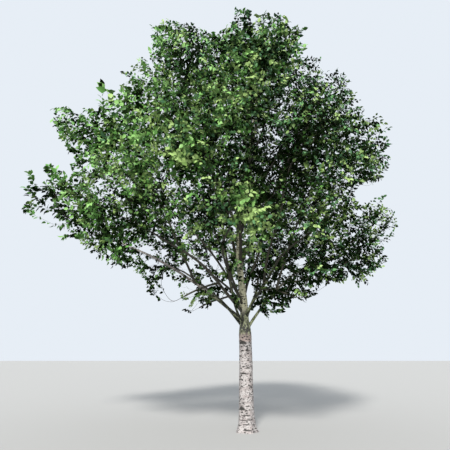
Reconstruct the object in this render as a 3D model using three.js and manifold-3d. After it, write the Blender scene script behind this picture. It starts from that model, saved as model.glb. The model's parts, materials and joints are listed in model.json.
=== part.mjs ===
// A young white-barked birch. A clear stem carries a whorl of boughs at its fork, and a leader
// runs on up through the crown. Tiers of foliage masses, each on its own bough, make the crown.
// Millimetres, +Z up, with the origin in the middle of the flat cut at ground level.
import * as THREE from "three";
import { mergeVertices } from "three/addons/utils/BufferGeometryUtils.js";
import Module from "manifold-3d";

const wasm = await Module();
wasm.setup();

// The trunk. The stem flares at its foot, thins into the leader above the fork, bends once
// and leans a little near its top.
const TRUNK_TOP = 8250;
const STEM_RADIUS = 122;
const FLARE = { wide: 40, wideFade: 550, foot: 45, footFade: 80, lobes: 5, lobeDepth: 0.1 };
const FORK = { foot: 1700, head: 2050 };
const LEADER = { footRadius: 84, tipRadius: 15, power: 1.8 };
const KINK = { depth: 110, height: 3400, spread: 900 };
const LEAN = { across: 480, away: 120, foot: 3600, head: 9100 };
const TRUNK_MESH = { sides: 12, rings: 16, crowding: 1.6 };

// The boughs. Each swells into a collar at its foot, tapers to one tip size and sways sideways.
// Neighbours start at heights that stride through their tier, so that no two crowd each other.
const BOUGH = { sides: 6, steps: 5, tipRadius: 15, taper: 0.9, sway: 0.025, waves: 1.2 };
const START_STRIDE = 3;
const COLLAR = { swell: 0.35, fade: 90 };
const SIDE_LIMB_SHARE = 0.75;
const SEAT_GAP = 0.35;

// The crown's middle leans with height: its offset along X at a height, and its slope.
const CROWN_MIDDLE = { height: 4500, offset: -250, slope: 0.19 };

// One row for each tier of the crown. A mass fills a space "across" by "up" about its middle,
// and "rise" tilts it up outwards. "reach" is how far its outer edge stands from the crown's
// middle, and "lift" is how far it stands above the rest of its tier.
// Boughs leave the trunk from "from" upwards, or every so many masses hang on a side limb that
// leaves a bough of the tier "limbOf" at the share "fork" of its length.
const TIERS = [
  {
    name: "low",
    seed: 200,
    height: 3700,
    across: 1150,
    up: 950,
    rise: 0.5,
    turn: 5,
    reach: [4000, 3450, 3500, 3500, 4300, 3650, 3500, 3500],
    lift: [-150, 0, 0, 50, 350, 250, 100, 0],
    from: 1760,
    climb: 50,
    bow: 400,
    radius: 31,
  },
  {
    name: "skirt",
    seed: 100,
    height: 2750,
    across: 800,
    up: 600,
    rise: 0.4,
    turn: 95,
    reach: [2400, 2000, 2850],
    lift: [-100, -150, -250],
    bow: 60,
    radius: 28,
    limbOf: "low",
    every: 1,
    fork: 0.3,
  },
  {
    name: "middle",
    seed: 300,
    height: 4950,
    across: 1250,
    up: 950,
    rise: 0.1,
    turn: 2,
    reach: [3550, 3600, 3700, 3900, 4150, 4000, 3550],
    lift: [0, 0, 0, 0, 450, 200, 0],
    from: 2150,
    climb: 75,
    bow: 420,
    radius: 31,
    limbOf: "low",
    every: 2,
    fork: 0.34,
  },
  {
    name: "high",
    seed: 400,
    height: 6300,
    across: 1250,
    up: 1000,
    rise: -0.1,
    turn: 25,
    reach: [3200, 3000, 3050, 3300, 3300, 3000],
    lift: [0, 0, 0, 0, 50, -50],
    from: 3050,
    climb: 240,
    bow: 260,
    radius: 34,
  },
  {
    name: "top",
    seed: 500,
    height: 7600,
    across: 1050,
    up: 900,
    rise: -0.2,
    turn: 35,
    reach: [2150, 2100, 2800, 2050],
    lift: [0, 0, -150, -250],
    from: 4950,
    climb: 330,
    bow: 180,
    radius: 25,
  },
];
const SPIRE = { name: "spire", height: 8720, across: 900, up: 900, rise: 0, seed: 900 };

// How much masses of a tier scatter in direction, as a share of their spacing, and in height.
const SCATTER = { turn: 0.25, height: 260 };

// Some boughs are more slender than others of their tier. "arch" lifts the middle of their curves,
// and "bend" pulls it aside, so that the leader shows between those at the front.
const ODD_BOUGHS = {
  bough_low_1: { arch: 400, bend: 0, slender: 0.9 },
  bough_low_7: { arch: 0, bend: 450, slender: 0.8 },
  bough_middle_4: { arch: 250, bend: 250, slender: 0.8 },
  bough_middle_6: { arch: 0, bend: 300, slender: 0.8 },
};
const OTHER_BOUGHS = { arch: 0, bend: 0, slender: 1 };

// How far in from a mass's middle its bough ends, and how far down, as shares of its size.
const BOUGH_END = { inward: 0.45, down: 0.16 };

// Twigs. The points that they join stand "spacing" apart, as a share of the mass's size, and
// fill "fill" of its space.
const TWIG = { radius: 6.5, power: 0.42, narrowing: 0.8, sides: 3, sunk: 26, stem: 170, seed: 7 };
const POINTS = { tries: 3000, spacing: 0.46, fill: 0.67, edge: 0.66, nearRoot: 0.6 };
const COST = { turn: 0.6, path: 0.45, leastCosine: 0.12 };

// Each leaf stands for a spray of small leaves. Each twig bears a few: for each, its place as a
// share of the twig's length, and the angle in degrees between the leaf and the twig.
const LEAF = { length: 580, width: 420, thickness: 11, fold: 0.06, widest: 0.43, thickest: 0.25 };
const LEAF_PLACES = [
  { share: 0.94, spread: 22 },
  { share: 0.6, spread: 50 },
  { share: 0.3, spread: 60 },
];
const LEAF_TRIES = 26;

// A leaf faces outwards from its mass's middle by "out", and up by a little more or less.
const FACING = { out: 0.9, scatter: 1, lowest: 0.1, highest: 0.7 };

// Room kept between parts.
const CLEARANCE = { cell: 6, limb: 12, point: 60, twig: 14, leaf: 12, foot: 70 };
const LIMB_STEP = 40;
const LINE_STEP = 30;
const NEARBY = 2;

const BARK = new THREE.MeshStandardMaterial({ color: 0xd9d0c4, roughness: 0.8, metalness: 0 });
const BOUGH_BARK = new THREE.MeshStandardMaterial({ color: 0x9a917c, roughness: 0.85, metalness: 0 });
const LEAVES = new THREE.MeshStandardMaterial({ color: 0x3f6b25, roughness: 0.6, metalness: 0 });

const UP = new THREE.Vector3(0, 0, 1);
const ACROSS = new THREE.Vector3(1, 0, 0);
const FIRST_SIDE = new THREE.Vector3(1, 0.3, 0);
const STEEP = 0.9;

// Numbers from 0 to 1 that are the same each run.
function numbersFrom(seed) {
  let state = (seed * 7919 + 12345) >>> 0;
  return () => {
    state = (Math.imul(state, 1664525) + 1013904223) >>> 0;
    return state / 4294967296;
  };
}

function smoothStep(from, to, x) {
  const s = Math.min(1, Math.max(0, (x - from) / (to - from)));
  return s * s * (3 - 2 * s);
}

// The trunk's centreline at a height.
function trunkMiddle(z) {
  const kink = KINK.depth * Math.exp(-(((z - KINK.height) / KINK.spread) ** 2));
  const lean = smoothStep(LEAN.foot, LEAN.head, z);
  const clearOfGround = smoothStep(0, FORK.foot, z);
  return new THREE.Vector3(LEAN.across * lean - kink * clearOfGround, LEAN.away * lean, z);
}

function trunkRadius(z) {
  const above = Math.max(0, (TRUNK_TOP - z) / (TRUNK_TOP - FORK.head));
  const leader = LEADER.tipRadius + (LEADER.footRadius - LEADER.tipRadius) * above ** LEADER.power;
  const wide = FLARE.wide * Math.exp(-z / FLARE.wideFade);
  const foot = FLARE.foot * Math.exp(-z / FLARE.footFade);
  const stem = STEM_RADIUS + wide + foot;
  return stem + (leader - stem) * smoothStep(FORK.foot, FORK.head, z);
}

// Roots swell the foot of the trunk in lobes.
function rootSwell(z, angle) {
  const fade = Math.exp(-z / (2 * FLARE.footFade));
  return 1 + FLARE.lobeDepth * Math.cos(FLARE.lobes * angle) * fade;
}

// The rings' middles, directions and side directions, with no twist from one to the next.
function framesAlong(points) {
  const side = FIRST_SIDE.clone();
  return points.map((point, i) => {
    const ahead = points[Math.min(i + 1, points.length - 1)];
    const behind = points[Math.max(i - 1, 0)];
    const along = ahead.clone().sub(behind).normalize();
    side.addScaledVector(along, -side.dot(along)).normalize();
    return { point, along, side: side.clone(), other: side.clone().cross(along) };
  });
}

// A closed tube through the frames: a cylinder whose rings are moved into place.
function tube(frames, sides, radiusAt) {
  const steps = frames.length - 1;
  const geometry = new THREE.CylinderGeometry(1, 1, 1, sides, steps);
  const position = geometry.getAttribute("position");
  for (let i = 0; i < position.count; i++) {
    const ring = Math.round((position.getY(i) + 0.5) * steps);
    const { point, side, other } = frames[ring];
    const [x, z] = [position.getX(i), position.getZ(i)];
    const radius = radiusAt(ring, Math.atan2(z, x));
    const place = point.clone();
    place.addScaledVector(side, x * radius).addScaledVector(other, z * radius);
    position.setXYZ(i, place.x, place.y, place.z);
  }
  return geometry;
}

function solidOf(geometry) {
  geometry.deleteAttribute("normal");
  geometry.deleteAttribute("uv");
  const merged = mergeVertices(geometry, 1e-3);
  return new wasm.Manifold(
    new wasm.Mesh({
      numProp: 3,
      vertProperties: merged.getAttribute("position").array,
      triVerts: new Uint32Array(merged.index.array),
    }),
  );
}

// The largest single body of a solid: loose scraps and sealed hollows are left behind. The
// solid is read back from its own mesh first, so that parts which only just touch fall apart.
function mainBody(solid) {
  const bodies = new wasm.Manifold(solid.getMesh()).decompose();
  return bodies.reduce((best, body) => (body.volume() > best.volume() ? body : best));
}

function geometryOf(solid) {
  const mesh = solid.getMesh();
  const places = new Float32Array(mesh.numVert * 3);
  for (let i = 0; i < mesh.numVert; i++)
    places.set(mesh.vertProperties.subarray(i * mesh.numProp, i * mesh.numProp + 3), i * 3);
  const geometry = new THREE.BufferGeometry();
  geometry.setAttribute("position", new THREE.BufferAttribute(places, 3));
  geometry.setIndex(new THREE.BufferAttribute(new Uint32Array(mesh.triVerts), 1));
  geometry.computeVertexNormals();
  return geometry;
}

// The trunk as a limb: rings stand closer near the ground, and all lie level.
function makeTrunk() {
  const frames = [];
  for (let i = 0; i <= TRUNK_MESH.rings; i++) {
    const z = TRUNK_TOP * (i / TRUNK_MESH.rings) ** TRUNK_MESH.crowding;
    frames.push({
      point: trunkMiddle(z),
      along: UP.clone(),
      side: ACROSS.clone(),
      other: ACROSS.clone().cross(UP),
    });
  }
  const radii = frames.map(({ point }) => trunkRadius(point.z));
  const radiusAt = (ring, angle) => radii[ring] * rootSwell(frames[ring].point.z, angle);
  return { name: "trunk", frames, radii, sides: TRUNK_MESH.sides, radiusAt };
}

// A bough: one arched, slightly swaying limb that tapers from its collar to its tip.
function makeBough(name, start, end, bow, footRadius, seed) {
  const random = numbersFrom(seed);
  const sideways = end.clone().sub(start).cross(UP).normalize();
  const { arch, bend, slender } = ODD_BOUGHS[name] ?? OTHER_BOUGHS;
  const middle = start.clone().lerp(end, 0.5).addScaledVector(UP, bow + arch);
  middle.addScaledVector(sideways, bend);
  const curve = new THREE.QuadraticBezierCurve3(start, middle, end);
  const length = start.distanceTo(end);
  const phase = random();
  const points = curve.getPoints(BOUGH.steps).map((point, i) => {
    const t = i / BOUGH.steps;
    const wave = Math.sin(2 * Math.PI * (BOUGH.waves * t + phase));
    return point.addScaledVector(sideways, BOUGH.sway * length * Math.sin(Math.PI * t) * wave);
  });
  const radii = points.map((_, i) => {
    const t = i / BOUGH.steps;
    const growth = slender * footRadius - BOUGH.tipRadius;
    const taper = BOUGH.tipRadius + growth * (1 - t) ** BOUGH.taper;
    return taper * (1 + COLLAR.swell * Math.exp((-t * length) / COLLAR.fade));
  });
  const radiusAt = (ring) => radii[ring];
  return { name, frames: framesAlong(points), radii, sides: BOUGH.sides, radiusAt };
}

// A point and the radius of a limb's axis, at a share of its length.
function alongLimb(limb, share) {
  const at = share * (limb.frames.length - 1);
  const i = Math.min(Math.floor(at), limb.frames.length - 2);
  const point = limb.frames[i].point.clone().lerp(limb.frames[i + 1].point, at - i);
  return { point, radius: limb.radii[i] + (limb.radii[i + 1] - limb.radii[i]) * (at - i) };
}

// The middle of the crown at a height.
function crownMiddle(z) {
  const x = CROWN_MIDDLE.offset + CROWN_MIDDLE.slope * (z - CROWN_MIDDLE.height);
  return new THREE.Vector3(x, 0, z);
}

// One mass's place in its tier. Its numbers scatter it a little in direction and height.
function placeMass(tier, i) {
  const seed = tier.seed + i;
  const random = numbersFrom(seed);
  const turn = i + SCATTER.turn * (random() - 0.5);
  const azimuth = THREE.MathUtils.degToRad(tier.turn + (360 / tier.reach.length) * turn);
  const height = tier.height + tier.lift[i] + SCATTER.height * (random() - 0.5);
  const outward = new THREE.Vector3(Math.cos(azimuth), Math.sin(azimuth), 0);
  const middle = crownMiddle(height).addScaledVector(outward, tier.reach[i] - tier.across);
  const { across, up, rise } = tier;
  const name = `foliage_${tier.name}_${i + 1}`;
  return { name, tier: tier.name, seed, middle, outward, across, up, rise };
}

// The bough that leads to a mass, from the trunk or as a side limb of the nearest lower bough.
function boughTo(mass, tier, i, masses) {
  const end = mass.middle.clone().addScaledVector(mass.outward, -BOUGH_END.inward * mass.across);
  end.z -= BOUGH_END.down * mass.up + BOUGH_END.inward * mass.rise * mass.across;
  const name = `bough_${tier.name}_${i + 1}`;
  if (tier.limbOf && i % tier.every === 0) {
    const lower = masses.filter((other) => other.tier === tier.limbOf);
    const nearest = (a, b) => (b.outward.dot(mass.outward) > a.outward.dot(mass.outward) ? b : a);
    const start = alongLimb(lower.reduce(nearest).bough, tier.fork).point;
    return makeBough(name, start, end, tier.bow, tier.radius * SIDE_LIMB_SHARE, mass.seed);
  }
  const step = (i * START_STRIDE) % tier.reach.length;
  const start = trunkMiddle(tier.from + tier.climb * step);
  return makeBough(name, start, end, tier.bow, tier.radius, mass.seed);
}

// Every mass's space and the limb that leads to it, from the lowest tier to the spire.
function planCrown(trunk) {
  const masses = [];
  for (const tier of TIERS) {
    for (let i = 0; i < tier.reach.length; i++) {
      const mass = placeMass(tier, i);
      mass.bough = boughTo(mass, tier, i, masses);
      masses.push(mass);
    }
  }
  const boughs = masses.map((mass) => mass.bough);
  const name = `foliage_${SPIRE.name}`;
  const middle = crownMiddle(SPIRE.height);
  masses.push({ ...SPIRE, name, middle, outward: ACROSS.clone(), bough: trunk });
  return { boughs, masses };
}

// True where a point lies in a mass's own space: inside its rounded form, shrunk to a share of
// its size, and on its side of the planes half way to the other masses.
function inSpace(point, mass, masses, share) {
  const offset = point.clone().sub(mass.middle);
  const height = offset.z - mass.rise * offset.dot(mass.outward);
  const level = offset.x ** 2 + offset.y ** 2;
  if (level / mass.across ** 2 + (height / mass.up) ** 2 > share ** 2) return false;
  return masses.every((other) => {
    if (other === mass) return true;
    const apart = other.middle.clone().sub(mass.middle);
    return offset.dot(apart) / apart.length() < apart.length() / 2 - CLEARANCE.cell;
  });
}

// The axes of all limbs as close points with radii, for the tests that keep foliage clear.
function limbPoints(limbs) {
  return limbs.flatMap((limb) => {
    const length = limb.frames[0].point.distanceTo(limb.frames.at(-1).point);
    const count = Math.ceil(length / LIMB_STEP);
    return Array.from({ length: count + 1 }, (_, i) => ({ limb, ...alongLimb(limb, i / count) }));
  });
}

function distanceToLine(point, from, to) {
  const line = new THREE.Line3(from, to);
  return line.closestPointToPoint(point, true, new THREE.Vector3()).distanceTo(point);
}

function twigIsClear(from, to, obstacles) {
  const room = CLEARANCE.limb + 2 * TWIG.radius;
  return obstacles.every((o) => distanceToLine(o.point, from, to) > o.radius + room);
}

// The outermost and the highest point of a mass's space, so that twigs reach its outline.
function edgePoints(mass) {
  const outermost = mass.middle.clone().addScaledVector(mass.outward, POINTS.edge * mass.across);
  outermost.z += mass.rise * POINTS.edge * mass.across;
  const highest = mass.middle.clone().addScaledVector(UP, POINTS.edge * mass.up);
  return [outermost, highest];
}

// Points spread evenly through a mass's space, the nearest to its root first.
function pointsIn(mass, masses, root, obstacles, random) {
  const spacing = POINTS.spacing * mass.across;
  const points = edgePoints(mass).filter((point) => inSpace(point, mass, masses, POINTS.fill));
  for (let i = 0; i < POINTS.tries; i++) {
    const [x, y, z] = [2 * random() - 1, 2 * random() - 1, 2 * random() - 1];
    if (x * x + y * y + z * z > 1) continue;
    const point = new THREE.Vector3(x * mass.across, y * mass.across, z * mass.up);
    point.z += mass.rise * point.dot(mass.outward);
    point.add(mass.middle);
    if (!inSpace(point, mass, masses, POINTS.fill)) continue;
    if (points.some((other) => other.distanceTo(point) < spacing)) continue;
    if (root.distanceTo(point) < spacing * POINTS.nearRoot) continue;
    if (obstacles.some((o) => o.point.distanceTo(point) < o.radius + CLEARANCE.point)) continue;
    points.push(point);
  }
  return points.sort((a, b) => a.distanceTo(root) - b.distanceTo(root));
}

// Joins each point to the twig that costs least: near, by a short way from the root, and
// with little turn.
function growTwigs(points, root, direction, obstacles) {
  const tip = root.clone().addScaledVector(direction, TWIG.stem);
  const twigs = [{ from: root, to: tip, way: TWIG.stem, along: direction.clone(), parent: null }];
  for (const point of points) {
    let best = null;
    for (const twig of twigs) {
      const step = point.clone().sub(twig.to);
      const length = step.length();
      const cosine = step.dot(twig.along) / length;
      if (cosine < COST.leastCosine) continue;
      const cost = length * (1 + COST.turn * (1 - cosine)) + COST.path * twig.way;
      if (best && best.cost <= cost) continue;
      if (!twigIsClear(twig.to, point, obstacles)) continue;
      best = { cost, twig, along: step.divideScalar(length), length };
    }
    if (!best) continue;
    const { twig, along, length } = best;
    twigs.push({ from: twig.to, to: point, way: twig.way + length, along, parent: twig });
  }
  for (const twig of twigs) twig.ends = 0;
  for (const twig of twigs) for (let t = twig; t; t = t.parent) t.ends++;
  return twigs;
}

function twigRadius(twig) {
  return Math.min(BOUGH.tipRadius, TWIG.radius * twig.ends ** TWIG.power);
}

// A turn and a shift that lay +X along a direction, with +Z near a normal.
function placing(origin, along, normal) {
  const side = normal.clone().cross(along).normalize();
  const up = along.clone().cross(side);
  return new THREE.Matrix4().makeBasis(along, side, up).setPosition(origin);
}

// A three-sided twig that ends in a point. Its foot is sunk into the twig that it grows from.
function twigSolid(twig) {
  const foot = twig.from.clone();
  if (twig.parent) foot.addScaledVector(twig.parent.along, -TWIG.sunk);
  const along = twig.to.clone().sub(foot);
  const length = along.length();
  const footRadius = twig.parent ? twigRadius(twig) : BOUGH.tipRadius;
  const tipRadius = twig.ends > 1 ? twigRadius(twig) * TWIG.narrowing : 0;
  const geometry = new THREE.CylinderGeometry(tipRadius, footRadius, length, TWIG.sides, 1);
  geometry.rotateZ(-Math.PI / 2).translate(length / 2, 0, 0);
  const normal = Math.abs(along.z) > STEEP * length ? ACROSS : UP;
  return solidOf(geometry.applyMatrix4(placing(foot, along.divideScalar(length), normal)));
}

// A thin leaf of 8 faces, with its two halves folded up a little.
function leafGeometry() {
  const geometry = new THREE.OctahedronGeometry(1);
  const position = geometry.getAttribute("position");
  for (let i = 0; i < position.count; i++) {
    const [x, y, z] = [position.getX(i), position.getY(i), position.getZ(i)];
    const middle = Math.abs(z) > 0.5 ? LEAF.thickest : LEAF.widest;
    const along = (Math.abs(x) > 0.5 ? (x + 1) / 2 : middle) * LEAF.length;
    const lift = Math.abs(y) * LEAF.fold * LEAF.width;
    position.setXYZ(i, along, (y * LEAF.width) / 2, (z * LEAF.thickness) / 2 + lift);
  }
  return geometry;
}

// Half the width of a leaf at a distance along it.
function leafHalfWidth(x) {
  const share = x / LEAF.length;
  const rise = share < LEAF.widest ? share / LEAF.widest : (1 - share) / (1 - LEAF.widest);
  return (rise * LEAF.width) / 2;
}

// True where a line passes through a leaf, with both given in the leaf's own frame.
function lineCrossesLeaf(from, to, margin) {
  const [low, high] = [-margin, LEAF.fold * LEAF.width + margin];
  if (Math.max(from.z, to.z) < low || Math.min(from.z, to.z) > high) return false;
  const steps = Math.ceil(from.distanceTo(to) / LINE_STEP);
  for (let i = 0; i <= steps; i++) {
    const p = from.clone().lerp(to, i / steps);
    if (p.z < low || p.z > high || p.x < -margin || p.x > LEAF.length + margin) continue;
    if (Math.abs(p.y) < leafHalfWidth(p.x) + margin) return true;
  }
  return false;
}

// The corners of a leaf in its own frame, and the lines round it and down its middle.
function leafLines(matrix) {
  const [x, y, z] = [LEAF.widest * LEAF.length, LEAF.width / 2, LEAF.fold * LEAF.width];
  const corners = [
    new THREE.Vector3(0, 0, 0),
    new THREE.Vector3(x, y, z),
    new THREE.Vector3(LEAF.length, 0, 0),
    new THREE.Vector3(x, -y, z),
  ];
  for (const corner of corners) corner.applyMatrix4(matrix);
  const edges = corners.map((corner, i) => [corner, corners[(i + 1) % corners.length]]);
  return [...edges, [corners[0], corners[2]]];
}

function crossesLeaf(leaf, from, to, margin) {
  const [a, b] = [from.clone().applyMatrix4(leaf.back), to.clone().applyMatrix4(leaf.back)];
  return lineCrossesLeaf(a, b, margin);
}

// True where a limb's point lies clear of the box round a leaf.
function pointClearsLeaf(leaf, point, radius) {
  const p = point.clone().applyMatrix4(leaf.back);
  const room = radius + CLEARANCE.limb + LIMB_STEP / 2;
  if (p.z < -room || p.z > room + LEAF.fold * LEAF.width) return true;
  return p.x < -room || p.x > LEAF.length + room || Math.abs(p.y) > LEAF.width / 2 + room;
}

// A leaf's own twig is let be, and so is the foot of a twig that grows on from its end.
function twigCrossesLeaf(leaf, twig) {
  if (twig === leaf.twig) return false;
  const from = twig.from.clone();
  if (twig.parent === leaf.twig) from.addScaledVector(twig.along, CLEARANCE.foot);
  return crossesLeaf(leaf, from, twig.to, CLEARANCE.twig);
}

function leavesCross(a, b) {
  if (a.centre.distanceTo(b.centre) > LEAF.length) return false;
  const through = (leaf, [from, to]) => crossesLeaf(leaf, from, to, CLEARANCE.leaf);
  return b.lines.some((line) => through(a, line)) || a.lines.some((line) => through(b, line));
}

// A leaf fits where it stays in the mass's space and meets no limb, other twig or other leaf.
function leafFits(leaf, mass, masses, obstacles, twigs, leaves) {
  if (!leaf.lines.every(([corner]) => inSpace(corner, mass, masses, 1))) return false;
  if (!obstacles.every(({ point, radius }) => pointClearsLeaf(leaf, point, radius))) return false;
  if (twigs.some((twig) => twigCrossesLeaf(leaf, twig))) return false;
  return !leaves.some((other) => leavesCross(leaf, other));
}

// Turns a leaf about its twig until it fits, or gives none.
function placeLeaf(twig, place, mass, masses, obstacles, twigs, leaves, random) {
  const foot = twig.from.clone().lerp(twig.to, place.share);
  const spread = THREE.MathUtils.degToRad(place.spread);
  const away = foot.clone().sub(mass.middle).normalize();
  const level = twig.along.clone().cross(UP).normalize();
  for (let i = 0; i < LEAF_TRIES; i++) {
    const turn = 2 * Math.PI * random();
    const side = level.clone().applyAxisAngle(twig.along, turn);
    const along = twig.along.clone().multiplyScalar(Math.cos(spread));
    along.addScaledVector(side, Math.sin(spread));
    const [x, y] = [FACING.scatter * (random() - 0.5), FACING.scatter * (random() - 0.5)];
    const z = FACING.lowest + (FACING.highest - FACING.lowest) * random();
    const facing = new THREE.Vector3(x, y, z).addScaledVector(away, FACING.out).normalize();
    const matrix = placing(foot, along, facing);
    const centre = new THREE.Vector3(LEAF.length / 2, 0, 0).applyMatrix4(matrix);
    const leaf = { twig, matrix, back: matrix.clone().invert(), lines: leafLines(matrix), centre };
    if (leafFits(leaf, mass, masses, obstacles, twigs, leaves)) return leaf;
  }
  return null;
}

// One mass of foliage, joined into one body.
function foliageSolid(mass, masses, obstacles) {
  const random = numbersFrom(mass.seed + TWIG.seed);
  const tip = mass.bough.frames.at(-1);
  const root = tip.point.clone().addScaledVector(tip.along, SEAT_GAP);
  const clearOf = obstacles.filter(({ limb, point }) => {
    if (point.distanceTo(mass.middle) > NEARBY * mass.across) return false;
    return limb !== mass.bough || point.distanceTo(root) > NEARBY * LIMB_STEP;
  });
  const points = pointsIn(mass, masses, root, clearOf, random);
  const twigs = growTwigs(points, root, tip.along, clearOf);
  const leaves = [];
  for (const place of LEAF_PLACES) {
    for (const twig of twigs.slice(1)) {
      const leaf = placeLeaf(twig, place, mass, masses, clearOf, twigs, leaves, random);
      if (leaf) leaves.push(leaf);
    }
  }
  const leafSolids = leaves.map((leaf) => solidOf(leafGeometry().applyMatrix4(leaf.matrix)));
  return mainBody(wasm.Manifold.union([...twigs.map(twigSolid), ...leafSolids]));
}

// Cuts a limb clear of the limbs that it grows from or crosses at their feet.
function cutClear(limb, earlier) {
  let solid = solidOf(tube(limb.frames, limb.sides, limb.radiusAt));
  for (const other of earlier) {
    const wider = (ring, angle) => other.radiusAt(ring, angle) + SEAT_GAP;
    solid = solid.subtract(solidOf(tube(other.frames, other.sides, wider)));
  }
  return mainBody(solid);
}

function namedMesh(name, solid, material) {
  const mesh = new THREE.Mesh(geometryOf(solid), material);
  mesh.name = name;
  return mesh;
}

function buildTree() {
  const tree = new THREE.Group();
  const trunk = makeTrunk();
  const { boughs, masses } = planCrown(trunk);
  const limbs = [trunk, ...boughs];
  limbs.forEach((limb, i) => {
    const material = limb === trunk ? BARK : BOUGH_BARK;
    tree.add(namedMesh(limb.name, cutClear(limb, limbs.slice(0, i)), material));
  });
  const obstacles = limbPoints(limbs);
  for (const mass of masses)
    tree.add(namedMesh(mass.name, foliageSolid(mass, masses, obstacles), LEAVES));
  return tree;
}

export default buildTree();
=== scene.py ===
"""The looks of a young white-barked birch, built around its solids.

The plan of trunk, boughs and foliage masses is the one that the solids follow. Here the limbs
get bark with relief, and each mass grows on into fine twigs that bear single leaves.
Metres, +Z up, with the origin in the middle of the cut at ground level.
"""

import json
import math
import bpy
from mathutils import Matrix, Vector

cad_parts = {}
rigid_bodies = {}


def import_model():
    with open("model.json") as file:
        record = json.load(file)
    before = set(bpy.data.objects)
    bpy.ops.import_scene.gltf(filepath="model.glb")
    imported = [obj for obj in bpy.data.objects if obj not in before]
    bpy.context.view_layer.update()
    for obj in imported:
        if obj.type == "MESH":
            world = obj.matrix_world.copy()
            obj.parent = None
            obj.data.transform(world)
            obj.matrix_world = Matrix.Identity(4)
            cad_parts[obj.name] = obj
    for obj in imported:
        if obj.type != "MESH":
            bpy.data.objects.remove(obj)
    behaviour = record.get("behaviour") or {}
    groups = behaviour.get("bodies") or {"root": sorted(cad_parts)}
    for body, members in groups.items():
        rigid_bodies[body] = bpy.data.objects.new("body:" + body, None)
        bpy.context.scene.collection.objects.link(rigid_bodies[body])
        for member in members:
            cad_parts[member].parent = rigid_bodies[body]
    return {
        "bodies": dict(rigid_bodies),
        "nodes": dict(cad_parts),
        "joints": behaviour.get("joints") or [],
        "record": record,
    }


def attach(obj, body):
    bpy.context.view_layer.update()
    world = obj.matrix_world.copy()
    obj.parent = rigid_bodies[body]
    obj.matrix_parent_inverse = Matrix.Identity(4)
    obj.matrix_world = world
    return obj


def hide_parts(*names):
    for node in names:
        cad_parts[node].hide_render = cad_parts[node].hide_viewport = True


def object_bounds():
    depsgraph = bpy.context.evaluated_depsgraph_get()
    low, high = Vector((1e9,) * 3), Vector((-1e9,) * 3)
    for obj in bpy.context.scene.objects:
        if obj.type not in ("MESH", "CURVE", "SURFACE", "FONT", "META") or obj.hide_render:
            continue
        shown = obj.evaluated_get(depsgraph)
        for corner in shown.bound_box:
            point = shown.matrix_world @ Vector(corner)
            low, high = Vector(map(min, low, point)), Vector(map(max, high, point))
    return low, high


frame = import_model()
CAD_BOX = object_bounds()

from types import SimpleNamespace as Values

import bpy
import numpy as np
from numpy.linalg import norm

BODY = "root"

# The trunk and its leader, as in the solids.
TRUNK_TOP = 8.25
STEM_RADIUS = 0.122
FLARE = Values(wide=0.04, wide_fade=0.55, foot=0.045, foot_fade=0.08)
LOBES = Values(count=5, depth=0.1)
FORK = Values(foot=1.7, head=2.05)
LEADER = Values(foot_radius=0.084, tip_radius=0.015, power=1.8)
KINK = Values(depth=0.11, height=3.4, spread=0.9)
LEAN = Values(across=0.48, away=0.12, foot=3.6, head=9.1)
TRUNK_RINGS = 16
TRUNK_CROWDING = 1.6

# The boughs.
BOUGH_STEPS = 5
BOUGH_TIP_RADIUS = 0.015
BOUGH_TAPER = 0.9
BOUGH_SWAY = 0.025
BOUGH_WAVES = 1.2
COLLAR = Values(swell=0.35, fade=0.09)
BOUGH_END = Values(inward=0.45, down=0.16)

# Boughs of a tier start at heights dealt out in this stride, and side limbs are thinner. The first
# twig of a mass starts a hair's breadth past its bough.
START_STRIDE = 3
SIDE_LIMB_SHARE = 0.75
SEAT_GAP = 0.00035

# Some boughs are more slender than others of their tier. "arch" lifts the middle of their curves,
# and "bend" pulls it aside, so that the leader shows between those at the front.
ODD_BOUGHS = {
    "bough_low_1": {"arch": 0.4, "slender": 0.9},
    "bough_low_7": {"bend": 0.45, "slender": 0.8},
    "bough_middle_4": {"arch": 0.25, "bend": 0.25, "slender": 0.8},
    "bough_middle_6": {"bend": 0.3, "slender": 0.8},
}
OTHER_BOUGHS = {"arch": 0.0, "bend": 0.0, "slender": 1.0}

# The tiers of the crown. A mass fills a space "across" by "up", tilted up outwards by "rise".
# "reach" is how far each mass stands out from the crown's middle.
CROWN_MIDDLE = Values(height=4.5, offset=-0.25, slope=0.19)
TIERS = [
    Values(
        name="low", seed=200, height=3.7, across=1.15, up=0.95, rise=0.5, turn=5, start=1.76,
        climb=0.05, bow=0.4, radius=0.031, every=0,
        reach=[4.0, 3.45, 3.5, 3.5, 4.3, 3.65, 3.5, 3.5],
        lift=[-0.15, 0, 0, 0.05, 0.35, 0.25, 0.1, 0],
    ),
    Values(
        name="skirt", seed=100, height=2.75, across=0.8, up=0.6, rise=0.4, turn=95, fork=0.3,
        bow=0.06, radius=0.028, every=1,
        reach=[2.4, 2.0, 2.85],
        lift=[-0.1, -0.15, -0.25],
    ),
    Values(
        name="middle", seed=300, height=4.95, across=1.25, up=0.95, rise=0.1, turn=2, start=2.15,
        climb=0.075, fork=0.34, bow=0.42, radius=0.031, every=2,
        reach=[3.55, 3.6, 3.7, 3.9, 4.15, 4.0, 3.55],
        lift=[0, 0, 0, 0, 0.45, 0.2, 0],
    ),
    Values(
        name="high", seed=400, height=6.3, across=1.25, up=1.0, rise=-0.1, turn=25, start=3.05,
        climb=0.24, bow=0.26, radius=0.034, every=0,
        reach=[3.2, 3.0, 3.05, 3.3, 3.3, 3.0],
        lift=[0, 0, 0, 0, 0.05, -0.05],
    ),
    Values(
        name="top", seed=500, height=7.6, across=1.05, up=0.9, rise=-0.2, turn=35, start=4.95,
        climb=0.33, bow=0.18, radius=0.025, every=0,
        reach=[2.15, 2.1, 2.8, 2.05],
        lift=[0, 0, -0.15, -0.25],
    ),
]
SIDE_LIMBS_GROW_FROM = "low"
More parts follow.
